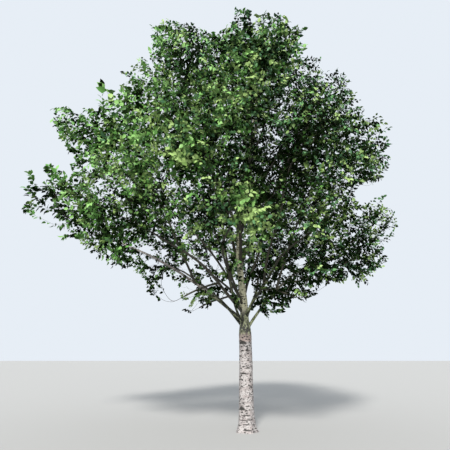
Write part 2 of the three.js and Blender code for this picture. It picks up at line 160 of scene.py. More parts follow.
SPIRE = Values(
    node="foliage_spire", tier="spire", seed=900, height=8.72, across=0.9, up=0.9, rise=0.0
)
SCATTER = Values(turn=0.25, height=0.26)

# The first twigs of each mass, which the solids have too.
STEM_LENGTH = 0.17
TWIG_SEED = 7
POINTS = Values(tries=3000, spacing=0.46, fill=0.67, edge=0.66, near_root=0.6)
COST = Values(turn=0.6, path=0.45, least_cosine=0.12, choices=40)
CLEARANCE = Values(cell=0.006, limb=0.025, point=0.06)

# Twigs keep clear of limbs within so many half-widths of their mass, and of their own bough but for
# its last stretch.
LIMB_STEP = 0.04
NEAR = Values(mass=2, root=0.08)

# The finer twigs that grow on from them. Their ends stand "spacing" apart in a space that is
# uneven at its edge and reaches further in, towards the heart of the crown.
FINE = Values(tries=22000, scatter=1.3, spacing=0.152, node=0.12, least_cosine=-0.25)
EDGE = Values(fill=0.86, uneven=0.3, lumps=6, inner=0.4, inner_full=0.8)
AIRY = Values(start=0.72, least=0.5)
TWIG_ROOM = 4000
NONE = -1

# Boughs bear fine twigs between these shares of their length, and the leader beside a mass. A
# limb's direction is taken from a little way behind each place on it.
BEHIND = 0.01
BOUGH_BEARS = Values(start=0.15, until=0.97)
LEADER_BEARS = Values(start=3.1, below=1.3, above=0.5)

# Twigs are thinner sown low down, near the stem, and in the gaps between clumps.
UNDERSIDE = Values(bare=2.1, full=3.9, least=0.16)
CORE = Values(bare=0.35, full=1.5, head=5.4, foot=4.4, least=0.3)
CLUMP = Values(size=0.42, thin=0.36, thick=0.6, least=0.3, seeds=(31, 32), around=4096)

# The camera, set as the photograph was taken.
IMAGE = Values(width=450, height=450)
CAMERA = Values(at=(-0.40, -8.18, 1.40), tilt=17.5, focal_pixels=402, sensor=36, far=200)

# Places as the camera sees them. Each row starts with the pixel across, the pixel down and the
# radius in pixels, and a place fades out between these shares of its radius.
PLACE_FADE = (0.6, 1.1)

# Where the sky cuts into the crown.
SKY_GAPS = [
    (117, 32, 35), (103, 60, 24), (66, 74, 33), (360, 51, 28), (352, 74, 8), (322, 38, 19),
    (368, 80, 19), (380, 92, 18), (410, 140, 23), (403, 184, 23), (398, 163, 10), (190, -40, 64),
    (213, 11, 22), (262, -50, 63), (311, 0, 29), (45, 136, 16), (44, 114, 9), (58, 151, 9),
    (64, 160, 11), (364, 193, 12), (378, 188, 9), (50, 252, 24), (85, 275, 23), (120, 290, 24),
    (172, 303, 15), (334, 296, 18), (397, 270, 15), (396, 249, 12), (406, 206, 15),
    (366, 300, 15), (152, 262, 6), (169, 285, 8), (187, 269, 7), (191, 290, 9), (206, 284, 7),
    (220, 268, 6), (232, 281, 5), (285, 272, 5), (301, 262, 6),
]

# Where twigs stand thinner or closer than elsewhere. The fourth number is how many times as close.
DENSITIES = [
    (98, 128, 24, 2), (172, 38, 26, 3), (48, 192, 24, 0.55), (62, 212, 22, 0.35),
    (76, 238, 24, 0.35), (76, 162, 24, 0.55), (88, 182, 20, 0.55), (90, 212, 14, 2.5),
    (138, 236, 14, 2), (125, 88, 16, 0.6), (112, 202, 30, 0.5), (160, 215, 24, 0.6),
    (112, 238, 16, 1.8), (140, 150, 22, 1.5), (150, 258, 26, 0.45), (190, 272, 24, 0.4),
    (212, 262, 20, 0.5), (218, 288, 16, 0.4), (262, 238, 14, 1.8), (275, 278, 30, 1.5),
    (230, 38, 16, 2), (200, 38, 15, 3), (288, 32, 18, 1.1), (262, 26, 20, 0.75),
    (362, 106, 14, 0.5), (338, 112, 16, 2), (311, 60, 17, 0.35), (370, 262, 22, 2),
    (380, 158, 24, 3), (350, 130, 22, 1.5), (345, 200, 24, 0.65), (372, 168, 16, 0.6),
    (388, 215, 20, 2), (372, 233, 26, 1.3), (338, 255, 30, 1.25), (312, 288, 26, 1.5),
    (262, 287, 14, 2), (268, 298, 22, 2), (325, 282, 22, 2.2), (160, 290, 16, 1.6),
    (135, 272, 18, 1.6), (125, 262, 14, 1.6),
]

# Where the crown's edge lies further out, or further in, and how many times as far.
REACHES = [
    (162, 27, 26, 1.25), (382, 152, 32, 1.16), (390, 225, 28, 1.03), (292, 26, 20, 1.06),
    (34, 207, 20, 1.15), (98, 86, 28, 0.78), (152, 55, 14, 0.9), (366, 104, 18, 0.88),
    (142, 268, 16, 0.9),
]

# Where leaves are larger, and how many times as large.
LARGER_PLACES = [
    (118, 120, 42, 1.25), (350, 140, 75, 1.14), (350, 250, 55, 1.1), (268, 30, 55, 1.3),
    (45, 200, 45, 1.3), (185, 158, 22, 1.4), (250, 208, 28, 1.2),
]

# The camera looks past the front of the crown into shaded hollows and at the leader here. No twig
# stands nearer to the camera than the fourth number, a distance along +Y.
HOLLOWS = [
    (266, 150, 25, -1.9), (240, 226, 6, -0.05), (240, 239, 7, -0.05), (242, 254, 8, -0.05),
    (243, 270, 8, -0.05), (245, 284, 9, -0.05), (247, 299, 9, -0.05),
]

# Where leaves take lighter tints as painted light, or darker ones as painted shade, than elsewhere:
# those nearer to the camera than the fourth number along +Y, by as much as the fifth.
PAINTED_LIGHT_PLACES = [
    (241, 197, 24, -2, 0.85), (250, 225, 30, -0.5, 0.25), (145, 282, 38, 1.5, -0.55),
    (150, 118, 58, 0.6, 0.32), (112, 172, 34, 0.6, 0.25), (325, 215, 38, 0.6, 0.3),
    (252, 243, 45, 0.6, 0.25), (240, 85, 40, 0.6, 0.25), (116, 232, 30, 0.6, -0.3),
    (36, 200, 30, 0.6, -0.35), (188, 58, 26, 0.6, -0.3), (282, 182, 27, 0.6, -0.4),
    (348, 145, 42, 0.6, -0.08), (245, 105, 45, 0.6, 0.12), (245, 335, 85, 1.5, -0.6),
    (266, 150, 45, 0.6, -0.15), (305, 278, 42, 1.5, -0.4),
]

# Some twigs at the edge run on as long shoots, within the box of the solids.
SHOOTS = Values(share=0.35, beyond=0.7, sizes=(0.14, 0.34), away=0.6, rise=0.3)
SHOOT_SPACE = 1.04
OVERSHOOT = Values(share=0.015, more=0.005)

# Leafy shoots stand straight on the boughs and on the leader.
BOUGH_SHOOTS = Values(every=0.1, start=0.45, until=0.7, share=0.55, sizes=(0.14, 0.36), scatter=1.0)
LEADER_SHOOTS = Values(every=0.26, start=2.75, share=0.8, sizes=(0.2, 0.42), scatter=0.5)
SHOOT_ALONG = 0.6
SHOOT_STEPS = 2

# Single shoots of some masses: vigorous ones with large leaves that reach out of the crown's left
# front, and low ones that hang from the boughs near the fork. Each row is a tip's x, y and z, and
# the size of the leaves.
SHOOTS_BY_HAND = {
    "foliage_middle_6": [
        (-1.8, -3.2, 4.51, 1.3), (-1.93, -3.33, 4.72, 1.7), (-2.06, -3.32, 4.89, 1.8),
        (-2.16, -3.3, 5.04, 1.8), (-1.62, -3.2, 4.8, 1.5),
    ],
    "foliage_low_7": [
        (-0.92, -3.25, 3.88, 1.4),
    ],
    "foliage_low_5": [
        (-4.15, -0.1, 5.05, 1), (-4.33, 0, 5.34, 1.1), (-4.33, -0.58, 4.55, 1),
        (-4.41, -0.58, 4.9, 1.1), (-4.4, -0.58, 4.15, 1), (-3.9, -0.5, 3.5, 1),
        (-0.75, -0.1, 2.25, 1), (-1.1, 0.1, 2.3, 1), (-1.45, -0.05, 2.42, 1),
        (-1.24, -0.1, 2.52, 1), (-1.3, -0.15, 2.7, 1), (-1.57, -0.1, 2.4, 1),
    ],
    "foliage_low_1": [
        (0.44, -0.18, 2.05, 1), (0.72, -0.1, 2.17, 1), (0.72, -0.3, 2.22, 1),
        (1.17, -0.28, 2.48, 1), (1.57, -0.28, 2.66, 1), (1.87, -0.3, 2.78, 1),
        (0.85, 0.15, 2.3, 1), (1.25, 0.1, 2.46, 1), (0.32, -0.3, 2.36, 1), (0.88, -0.2, 2.37, 1),
        (1.41, -0.1, 2.52, 1), (0.37, -0.18, 2.57, 1), (0.49, -0.18, 2.4, 1),
    ],
    "foliage_low_2": [
        (0.33, 0.1, 2.4, 1), (0.6, 0.1, 2.28, 1), (1, 0.3, 2.5, 1), (0.34, 0.05, 2.26, 1),
    ],
    "foliage_low_8": [
        (1.3, -0.9, 2.6, 1), (0.62, -0.6, 2.3, 1), (0.95, -0.75, 2.42, 1), (0.69, -0.5, 2.5, 1),
    ],
    "foliage_low_6": [
        (-0.72, -0.35, 2.5, 1), (-1.05, -0.75, 2.45, 1),
    ],
    "foliage_low_4": [
        (-0.8, 0.4, 2.45, 1),
    ],
}
HAND_COSINE = -0.4

# Twigs thicken from their tips with the number of leafy ends that they carry.
TWIG_FOOT = 0.00125
TWIG_POWER = 0.42
TWIG_SIDES = 3
TWIG_NARROWING = {0.0: 1.0, 0.5: 0.9, 1.0: 0.8}
STEEP = 0.9
CURVE = 0.4

# Leaves. The shares of the length are where a leaf is widest and where it turns in to its tip.
LEAF = Values(length=0.074, width=0.051, stalk=0.016, stalk_width=0.0022)
LEAF_SHARES = Values(widest=0.27, shoulder=0.68, shoulder_width=0.68, middle=0.5)
LEAF_FOLDS = Values(up=0.28, down=0.14, middle=0.01)
LEAVES_PER_TWIG = 8
LEAF_FACING = 0.7
# Vigorous shoots' leaves take darker tints, as painted shade.
VIGOROUS = Values(start=1.2, every=4, facing=(1.0, -1.8, -0.7), fresher=-0.5)
LEAF_SPREAD = Values(foot=62, tip=25, scatter=12)
LEAF_DROOP = 0.35
LEAF_SIZES = (0.75, 1.15)
LEAF_GAP_SHARE = 0.85
LEAF_SHIFT = 0.06
LEAF_TURN = 0.7
LEAF_TILT = Values(level=0.9, low=0.1, high=0.9)

# Leaves are larger on one side and in the shade of the back. Their tints are painted light: lighter
# on the side that gets most light, and darkest, as painted shade, in the heart, which is the
# crown's middle at that height.
# "wide" and "high" are how far the crown reaches from there.
SUNNY_SIDE = Values(toward=(-0.6, -0.7, 0.3), fresher=0.3)
LARGER_SIDE = Values(toward=(-0.8, 0.55, 0.1), larger=0.2)
CROWN = Values(heart=5.2, wide=3.7, high=3.9)
# Tints step lighter as painted light further out in a mass and in the crown, and spread at random
# by spray and lighter towards the twigs' tips as the leaves' own tone.
PAINTED_LIGHT_AND_TONE = Values(in_mass=0.4, in_crown=0.65, scatter=0.46, tip=0.7)
COOL_SIDE = Values(toward=(0.9, 0.1, 0.45), share=0.45, more=0.5)
PURE_SIDE = Values(toward=(-1.0, -0.3, 0.1), share=0.22, more=0.65)

# The marks on the stem: old branch scars, most of them on its left as the camera sees it. Each
# row is a height, a turn from the front in degrees, and the scar's own width and height.
SCARS = [
    (1.57, 34, 0.2, 0.062), (1.43, -12, 0.07, 0.05), (1.42, 35, 0.07, 0.03),
    (1.108, -16, 0.1, 0.024), (1.01, 24, 0.12, 0.034), (0.95, 62, 0.05, 0.03),
    (0.896, 36, 0.045, 0.032), (0.913, -34, 0.045, 0.024), (0.687, -60, 0.06, 0.024),
    (0.59, -14, 0.035, 0.02), (0.448, -14, 0.045, 0.02), (0.375, 4, 0.05, 0.022),
    (0.584, 75, 0.05, 0.04), (0.483, 62, 0.05, 0.03), (0.402, 43, 0.14, 0.06),
    (1.25, 150, 0.12, 0.05), (0.72, 205, 0.1, 0.04), (1.62, 250, 0.12, 0.04),
    (0.29, 12, 0.17, 0.016), (0.21, 20, 0.2, 0.014), (0.14, 5, 0.15, 0.012), (0.05, 0, 0.18, 0.02),
    (2.45, 20, 0.1, 0.03), (2.72, -60, 0.09, 0.03),
]
SCAR_DROOP = 0.25
SCAR_RIM = (0.8, 1.2)
FRONT = math.pi / 2
FLECKS = Values(columns=16, row=0.055, share=0.6, wide=0.018, tall=0.0095)
FLECK_SEEDS = (11, 12, 13, 14)
FLECK_RIM = (0.7, 1.2)
SMALLEST_FLECK = 0.5

# The relief of the stem's bark: how far each kind stands out, how tall its cells are and how many
# flakes go round the stem.
RELIEF = Values(wobble=0.007, flakes=0.0022, rims=0.0018, flecks=0.0015, scars=0.005)
CELLS = Values(wobble=0.3, flakes=0.035, rims=0.014, around=14)
RIM_POWER = 3
TRUNK_SIDES = 112
FINE_RINGS = Values(top=2.5, step=0.0052)
COARSE_RING = 0.022
TOP_NARROWING = 0.9

# Where the bark peels below the fork, where moss grows in and above the fork, and how much.
PEEL = Values(low=1.6, high=1.74, fade=0.03, much=0.7)
FORK_MOSS = Values(low=1.78, high=2.1, fade=0.12, much=0.85)
LEADER_MOSS = Values(low=2.2, high=4.2, fade=0.6, much=0.12)
LEADER_YOUTH = Values(foot=1.9, head=2.3, much=0.8)

# The boughs' bark, each with its own stretch of the pattern, and how pale those boughs are that
# aren't as dark as the rest.
BARK_SHIFT = 3
BOUGH_SIDES = 20
BOUGH_RINGS = 64
BOUGH_LUMPS = Values(depth=0.14, cell=0.11, seed=20, around=5)
BOUGH_WRINKLES = Values(depth=0.05, cell=0.03, seed=60, around=2)
BOUGH_MOSS = Values(foot=0.35, fade=1.2)
PALE_BOUGHS = {"bough_low_5": 1.0, "bough_low_4": 0.15, "bough_low_6": 0.1, "bough_low_1": 0.2}

# Colours.
STEM_BARK = Values(
    pale=(0.365, 0.344, 0.335), pink=(0.275, 0.245, 0.238), mottle=(0.1, 0.092, 0.091),
    peel=(0.3, 0.225, 0.195), young=(0.65, 0.625, 0.415), young_dark=(0.25, 0.25, 0.158),
    dash_share=(0.64, 0.7),
)
# The dark boughs' young colours are darker than their own dark olive-brown bark, as painted shade
# of the crown over them.
BOUGH_BARK_AND_PAINTED_SHADE = Values(
    pale=(0.39, 0.367, 0.34), pink=(0.233, 0.2, 0.183), mottle=(0.042, 0.0375, 0.033),
    peel=(0.25, 0.183, 0.15), young=(0.032, 0.03, 0.0175), young_dark=(0.008, 0.0075, 0.005),
    dash_share=(0.66, 0.74),
)
MOSS = Values(pale=(0.333, 0.358, 0.208), green=(0.117, 0.142, 0.042), dark=(0.01, 0.013, 0.006))
DASH_COLOUR = (0.046, 0.04, 0.0375)
SCAR_COLOUR = (0.025, 0.023, 0.02)
TWIG_COLOURS = ((0.0215, 0.0165, 0.0115), (0.05, 0.038, 0.0265))

# Each tint is a base colour and a specular level. The tints are lit and shaded copies of one green,
# as painted light: the darkest are painted shade for leaves deep in the crown, which have little
# gloss, and the lightest are painted sunlight.
LEAF_TINTS = {
    "leaf_shade": ((0.003, 0.009, 0.0015), 0.02),
    "leaf_deep": ((0.0125, 0.032, 0.006), 0.04),
    "leaf_green": ((0.054, 0.1, 0.024), 0.16),
    "leaf_bright": ((0.122, 0.206, 0.05), 0.24),
    "leaf_fresh": ((0.24, 0.357, 0.116), 0.28),
    "leaf_cool_green": ((0.035, 0.098, 0.041), 0.16),
    "leaf_cool_bright": ((0.087, 0.208, 0.079), 0.24),
    "leaf_pure_green": ((0.038, 0.106, 0.02), 0.16),
    "leaf_pure_bright": ((0.085, 0.22, 0.045), 0.24),
    "leaf_pure_fresh": ((0.18, 0.355, 0.1), 0.28),
}
TINT_STEPS = [0.67, 0.91, 1.13, 1.46]

# Which tints the warm, the cool and the pure green sprays take, from the darkest painted shade to
# the lightest painted sunlight.
TINTS = [[0, 1, 2, 3, 4], [0, 1, 5, 6, 4], [0, 1, 7, 8, 9]]

FLOOR = Values(half=60, colour=(0.35, 0.35, 0.342))
SKY_LIGHT = Values(colour=(0.84, 0.9, 0.97), strength=0.95)
LAMPS = {
    "key": Values(energy=5.8, angle=10, colour=(1, 0.97, 0.93), turn=(55, 0, -8)),
    "fill": Values(energy=0.4, angle=40, colour=(1, 0.98, 0.96), turn=(78, 0, 10)),
}

UP = np.array([0.0, 0.0, 1.0])
ACROSS = np.array([1.0, 0.0, 0.0])
FIRST_SIDE = np.array([1.0, 0.3, 0.0])
TAU = 2 * math.pi
TINY = 1e-12
WORD = 4294967296
DRAW = Values(seed_times=7919, seed_plus=12345, times=1664525, plus=1013904223)
HASH = Values(column=374761393, row=668265263, seed=974711, mix=1274126177)
LOW_BITS = 0xFFFF


def unit(vectors):
    """Vectors of length one along the last axis."""
    vectors = np.asarray(vectors, dtype=float)
    length = norm(vectors, axis=-1, keepdims=True)
    return vectors / np.maximum(length, TINY)


def numbers_from(seed):
    """Numbers from 0 to 1 that are the same each run, and the same as those of the solids."""
    state = (seed * DRAW.seed_times + DRAW.seed_plus) % WORD

    def draw():
        nonlocal state
        state = (state * DRAW.times + DRAW.plus) % WORD
        return state / WORD

    return draw


def smooth_step(start, end, x):
    s = np.clip((x - start) / (end - start), 0, 1)
    return s * s * (3 - 2 * s)


def blend(first, second, share):
    return first + (second - first) * share


def cell_noise(u, v, seed, around):
    """Smooth numbers from 0 to 1 over a grid of cells that repeats along u."""
    column, row = np.floor(u).astype(np.int64), np.floor(v).astype(np.int64)
    fu, fv = smooth_step(0, 1, u - column), smooth_step(0, 1, v - row)

    def corner(i, j):
        n = (column + i) % around * HASH.column + (row + j) * HASH.row + seed * HASH.seed
        n = n % WORD ^ n % WORD >> 13
        n = n * HASH.mix % WORD
        return ((n ^ n >> 16) & LOW_BITS) / LOW_BITS

    low = corner(0, 0) * (1 - fu) + corner(1, 0) * fu
    high = corner(0, 1) * (1 - fu) + corner(1, 1) * fu
    return low * (1 - fv) + high * fv


# The plan.


def trunk_middle(z):
    kink = KINK.depth * np.exp(-(((z - KINK.height) / KINK.spread) ** 2))
    lean = smooth_step(LEAN.foot, LEAN.head, z)
    x = LEAN.across * lean - kink * smooth_step(0, FORK.foot, z)
    return np.stack([x, LEAN.away * lean, z], axis=-1)


def trunk_radius(z):
    above = np.maximum(0, (TRUNK_TOP - z) / (TRUNK_TOP - FORK.head))
    leader = blend(LEADER.tip_radius, LEADER.foot_radius, above ** LEADER.power)
    wide = FLARE.wide * np.exp(-z / FLARE.wide_fade)
    foot = FLARE.foot * np.exp(-z / FLARE.foot_fade)
    stem = STEM_RADIUS + wide + foot
    return blend(stem, leader, smooth_step(FORK.foot, FORK.head, z))


def root_swell(z, angle):
    return 1 + LOBES.depth * np.cos(LOBES.count * angle) * np.exp(-z / (2 * FLARE.foot_fade))


def trunk_limb():
    """The trunk's middle line and radii at the few rings that its solid has."""
    z = TRUNK_TOP * (np.arange(TRUNK_RINGS + 1) / TRUNK_RINGS) ** TRUNK_CROWDING
    points, radii = trunk_middle(z), trunk_radius(z)
    return Values(line=trunk_middle, points=points, radii=radii, tip_along=UP)


def bough_points(bough, t):
    """Points of a bough's middle line, at shares t of the way along it."""
    t = t[:, None]
    middle = (bough.start + bough.end) / 2 + (bough.bow + bough.arch) * UP
    middle = middle + bough.bend * bough.sideways
    wave = np.sin(math.pi * t) * np.sin(TAU * (BOUGH_WAVES * t + bough.phase))
    curve = bezier(bough.start, middle, bough.end, t)
    return curve + bough.sideways * BOUGH_SWAY * bough.length * wave


def bough_radii(bough, t):
    foot_radius = bough.slender * bough.foot_radius
    taper = blend(BOUGH_TIP_RADIUS, foot_radius, (1 - t) ** BOUGH_TAPER)
    return taper * (1 + COLLAR.swell * np.exp(-t * bough.length / COLLAR.fade))


def make_bough(name, start, end, bow, foot_radius, seed):
    bough = Values(name=name, start=start, end=end, bow=bow, foot_radius=foot_radius)
    vars(bough).update({**OTHER_BOUGHS, **ODD_BOUGHS.get(name, {})})
    bough.phase = numbers_from(seed)()
    bough.length = norm(end - start)
    bough.sideways = unit(np.cross(end - start, UP))
    bough.line = lambda t: bough_points(bough, t)
    t = np.arange(BOUGH_STEPS + 1) / BOUGH_STEPS
    bough.points = bough.line(t)
    bough.radii = bough_radii(bough, t)
    bough.tip_along = unit(bough.points[-1] - bough.points[-2])
    return bough


def along_limb(limb, shares):
    """Points and radii of a limb's axis, at shares of its length."""
    last = len(limb.points) - 1
    at = np.atleast_1d(shares) * last
    rings = np.arange(last + 1)
    points = np.stack([np.interp(at, rings, limb.points[:, k]) for k in range(3)], axis=-1)
    return points, np.interp(at, rings, limb.radii)


def crown_middle(z):
    x = CROWN_MIDDLE.offset + CROWN_MIDDLE.slope * (z - CROWN_MIDDLE.height)
    return np.array([x, 0.0, z])


def place_mass(tier, i):
    seed = tier.seed + i
    draw = numbers_from(seed)
    turn = i + SCATTER.turn * (draw() - 0.5)
    azimuth = math.radians(tier.turn + 360 / len(tier.reach) * turn)
    height = tier.height + tier.lift[i] + SCATTER.height * (draw() - 0.5)
    outward = np.array([math.cos(azimuth), math.sin(azimuth), 0.0])
    middle = crown_middle(height) + outward * (tier.reach[i] - tier.across)
    return Values(
        node=f"foliage_{tier.name}_{i + 1}", tier=tier.name, seed=seed, middle=middle,
        outward=outward, across=tier.across, up=tier.up, rise=tier.rise,
    )


def bough_to(mass, tier, i, masses):
    """The bough that leads to a mass, from the trunk or as a side limb of a lower bough."""
    end = mass.middle - mass.outward * BOUGH_END.inward * mass.across
    drop = BOUGH_END.down * mass.up + BOUGH_END.inward * mass.rise * mass.across
    radius = tier.radius
    if tier.every and i % tier.every == 0:
        lower = [other for other in masses if other.tier == SIDE_LIMBS_GROW_FROM]
        nearest = max(lower, key=lambda other: other.outward @ mass.outward)
        start = along_limb(nearest.bough, tier.fork)[0][0]
        radius *= SIDE_LIMB_SHARE
    else:
        step = (i * START_STRIDE) % len(tier.reach)
        start = trunk_middle(tier.start + tier.climb * step)
    name = f"bough_{tier.name}_{i + 1}"
    return make_bough(name, start, end - drop * UP, tier.bow, radius, mass.seed)


def plan_crown(trunk):
    masses = []
    for tier in TIERS:
        for i in range(len(tier.reach)):
            mass = place_mass(tier, i)
            mass.bough = bough_to(mass, tier, i, masses)
            masses.append(mass)
    middle = crown_middle(SPIRE.height)
    return masses + [Values(**vars(SPIRE), middle=middle, outward=ACROSS, bough=trunk)]


def out_from(points, mass):
    """Offsets from a mass's middle, and the squares of their shares of its rounded form."""
    offset = points - mass.middle
    height = offset[:, 2] - mass.rise * (offset @ mass.outward)
    level = (offset[:, :2] ** 2).sum(axis=1)
    return offset, level / mass.across ** 2 + (height / mass.up) ** 2


def in_space(points, mass, masses, share):
    """True for points in a mass's rounded form and on its side of the planes between masses."""
    offset, out = out_from(points, mass)
    inside = out <= share**2
    for other in masses:
        if other is not mass:
            apart = other.middle - mass.middle
            distance = norm(apart)
            inside &= offset @ apart / distance < distance / 2 - CLEARANCE.cell
    return inside


def limb_points(limbs, bough):
    """The axes of all limbs as close points, with their radii and which are the bough's own."""
    columns = []
    for limb in limbs:
        count = math.ceil(norm(limb.points[-1] - limb.points[0]) / LIMB_STEP)
        own = np.full(count + 1, limb is bough)
        columns.append((*along_limb(limb, np.arange(count + 1) / count), own))
    return [np.concatenate(column) for column in zip(*columns)]


def obstacles_near(mass, root, limbs):
    """Points and radii of the limbs that a mass's twigs keep clear of."""
    points, radii, own = limb_points(limbs, mass.bough)
    near = norm(points - mass.middle, axis=1) <= NEAR.mass * mass.across
    near &= ~own | (norm(points - root, axis=1) > NEAR.root)
    return points[near], radii[near]


def clear_of_limbs(start, end, obstacles):
    points, radii = obstacles
    span = end - start
    t = np.clip((points - start) @ span / (span @ span), 0, 1)
    gaps = norm(points - (start + t[:, None] * span), axis=1)
    return bool(np.all(gaps > radii + CLEARANCE.limb))


def draws_in_ball(mass, draw, tries, scatter=1.0):
    """Points scattered through the mass's rounded form, in the order of their draws."""
    cube = np.array([draw() for _ in range(3 * tries)]).reshape(-1, 3) * 2 - 1
    ball = cube[(cube**2).sum(axis=1) <= 1] * scatter
    points = ball * [mass.across, mass.across, mass.up]
    points[:, 2] += mass.rise * (points @ mass.outward)
    return points + mass.middle


def spread_points(tries, root, obstacles, spacing, first=()):
    """Those points that stand apart from each other and from limbs, nearest to the root first."""
    limbs, radii = obstacles
    kept = np.zeros((len(first) + len(tries), 3))
    count = len(first)
    kept[:count] = np.reshape(first, (-1, 3))
    for point in tries:
        if count and ((kept[:count] - point) ** 2).sum(axis=1).min() < spacing**2:
            continue
        if norm(root - point) < spacing * POINTS.near_root:
            continue
        if np.any(((limbs - point) ** 2).sum(axis=1) < (radii + CLEARANCE.point) ** 2):
            continue
        kept[count] = point
        count += 1
    kept = kept[:count]
    return kept[np.argsort(norm(kept - root, axis=1), kind="stable")]


def edge_share(points, mass):
    """How far out points lie in a mass's space, as a share of its uneven edge there."""
    offset, out = out_from(points, mass)
    azimuth = np.arctan2(offset[:, 1], offset[:, 0]) / TAU * EDGE.lumps
    tilt = unit(offset)[:, 2] * EDGE.lumps / 2
    lumps = cell_noise(azimuth, tilt, mass.seed, EDGE.lumps) - 0.5
    heart = unit(crown_middle(CROWN.heart) - mass.middle)
    inner = smooth_step(0, EDGE.inner_full, unit(offset) @ heart)
    return np.sqrt(out) / (EDGE.fill + EDGE.uneven * lumps + EDGE.inner * inner)


def fullness(points):
    """The share of twigs that grow at each point."""
    z = points[:, 2]
    under = blend(UNDERSIDE.least, 1, smooth_step(UNDERSIDE.bare, UNDERSIDE.full, z))
    from_stem = norm((points - trunk_middle(z))[:, :2], axis=1)
    core = blend(CORE.least, 1, smooth_step(CORE.bare, CORE.full, from_stem))
    core = blend(core, 1, smooth_step(CORE.foot, CORE.head, z))
    x, y, z = (points / CLUMP.size).T
    clumps = sum(cell_noise(u, z, s, CLUMP.around) for u, s in zip((x, y), CLUMP.seeds)) / 2
    return under * core * blend(CLUMP.least, 1, smooth_step(CLUMP.thin, CLUMP.thick, clumps))


def pixels_of(points):
    """Where points fall in the camera's picture."""
    offset = points - CAMERA.at
    tilt = math.radians(CAMERA.tilt)
    depth = offset[:, 1] * math.cos(tilt) + offset[:, 2] * math.sin(tilt)
    up = offset[:, 2] * math.cos(tilt) - offset[:, 1] * math.sin(tilt)
    across = IMAGE.width / 2 + CAMERA.focal_pixels * offset[:, 0] / depth
    return np.stack([across, IMAGE.height / 2 - CAMERA.focal_pixels * up / depth], axis=-1)


def apart_from(pixels, across, down):
    return np.hypot(pixels[:, 0] - across, pixels[:, 1] - down)


def nearness(pixels, across, down, radius):
    """1 in the middle of a place, and 0 well away from it."""
    return 1 - smooth_step(*PLACE_FADE, apart_from(pixels, across, down) / radius)


def in_sky_gap(points, share=1.0):
    inside = np.zeros(len(points), dtype=bool)
    for *middle, radius in SKY_GAPS:
        inside |= apart_from(pixels_of(points), *middle) < radius * share
    return inside


def in_hollow(points):
    inside = np.zeros(len(points), dtype=bool)
    for *middle, radius, front in HOLLOWS:
        inside |= (apart_from(pixels_of(points), *middle) < radius) & (points[:, 1] < front)
    return inside


def times_at(points, places):
    """What the camera's places multiply a value by, at each point."""
    pixels = pixels_of(points)
    product = np.ones(len(points))
    for *place, times in places:
        product *= blend(1, times, nearness(pixels, *place))
    return product


def in_reach(points):
    """True for points that stay in the box of the solids, or hardly pass it."""
    low, high = np.array(CAD_BOX[0]), np.array(CAD_BOX[1])
    more = OVERSHOOT.share * (high - low) + OVERSHOOT.more
    return np.all((points > low - more) & (points < high + more), axis=-1)


def edge_points(mass):
    """The outermost and the highest point of a mass's space."""
    out = POINTS.edge * mass.across
    outermost = mass.middle + mass.outward * out + mass.rise * out * UP
    return np.array([outermost, mass.middle + POINTS.edge * mass.up * UP])


def bezier(foot, control, end, t):
    return (1 - t) ** 2 * foot + 2 * t * (1 - t) * control + t**2 * end


def curve_at(curve, t):
    """The point and the direction of a curve, at a share of it."""
    foot, control, end = curve
    return bezier(*curve, t), unit((1 - t) * (control - foot) + t * (end - control))


class Twigs:
    """A tree of nodes. Each node ends one twig, and grows from the end of its parent's.

    "way" is the length of the path from the root, and "vigour" is how large the leaves are.
    """

    def __init__(self, room):
        self.count = 0
        self.at = np.zeros((room, 3))
        self.along = np.zeros((room, 3))
        self.way = np.zeros(room)
        self.parent = np.full(room, NONE)
        self.fine = np.zeros(room, dtype=bool)
        self.vigour = np.ones(room)

    def add(self, at, along, parent=NONE, fine=False, way=0.0):
        """Adds a node, which stands on a limb where it has no parent. Returns its number."""
        i = self.count
        self.count += 1
        self.at[i] = at
        self.along[i] = along
        self.parent[i] = parent
        self.fine[i] = fine
        self.way[i] = way if parent == NONE else self.way[parent] + norm(at - self.at[parent])
        return i

    def add_curved(self, parent, tip, steps=None, fine=True, vigour=1.0):
        """A curved run of twigs from a node to a tip. Returns its last node."""
        foot = self.at[parent]
        length = norm(tip - foot)
        curve = (foot, foot + self.along[parent] * CURVE * length, tip)
        steps = steps or max(1, math.ceil(length / FINE.node))
        for k in range(1, steps + 1):
            parent = self.add(*curve_at(curve, k / steps), parent, fine)
            self.vigour[parent] = vigour
        return parent

    def curves(self, own):
        """The foot, the control point and the end of each twig's curve."""
        parent = self.parent[own]
        foot, end = self.at[parent], self.at[own]
        length = norm(end - foot, axis=1)[:, None]
        return foot, foot + self.along[parent] * CURVE * length, end

    def cheapest(self, point, least_cosine):
        """Nodes that could carry a twig to a point, with the one of least cost first."""
        step = point - self.at[: self.count]
        length = norm(step, axis=1)
        cosine = (step * self.along[: self.count]).sum(axis=1) / np.maximum(length, TINY)
        cost = length * (1 + COST.turn * (1 - cosine)) + COST.path * self.way[: self.count]
        cost[cosine < least_cosine] = np.inf
        order = np.argsort(cost, kind="stable")
        return [int(i) for i in order[: COST.choices] if np.isfinite(cost[i])]

    def summed(self, values):
        """Each node's value with those of all that grows from it."""
        sums = np.array(values, dtype=float)
        for i in range(self.count - 1, 0, -1):
            if self.parent[i] != NONE:
                sums[self.parent[i]] += sums[i]
        return sums


def first_twigs(mass, masses, root, obstacles, draw):
    """The twigs that the solid has too: their ends, and the twig that each grows from."""
    edge = edge_points(mass)
    edge = edge[in_space(edge, mass, masses, POINTS.fill)]
    tries = draws_in_ball(mass, draw, POINTS.tries)
    tries = tries[in_space(tries, mass, masses, POINTS.fill)]
    points = spread_points(tries, root, obstacles, POINTS.spacing * mass.across, edge)
    twigs = Twigs(len(points) + 2)
    along = mass.bough.tip_along
    twigs.add(root + along * STEM_LENGTH, along, way=STEM_LENGTH)
    for point in points:
        for parent in twigs.cheapest(point, COST.least_cosine):
            if clear_of_limbs(twigs.at[parent], point, obstacles):
                twigs.add(point, unit(point - twigs.at[parent]), parent)
                break
    return twigs


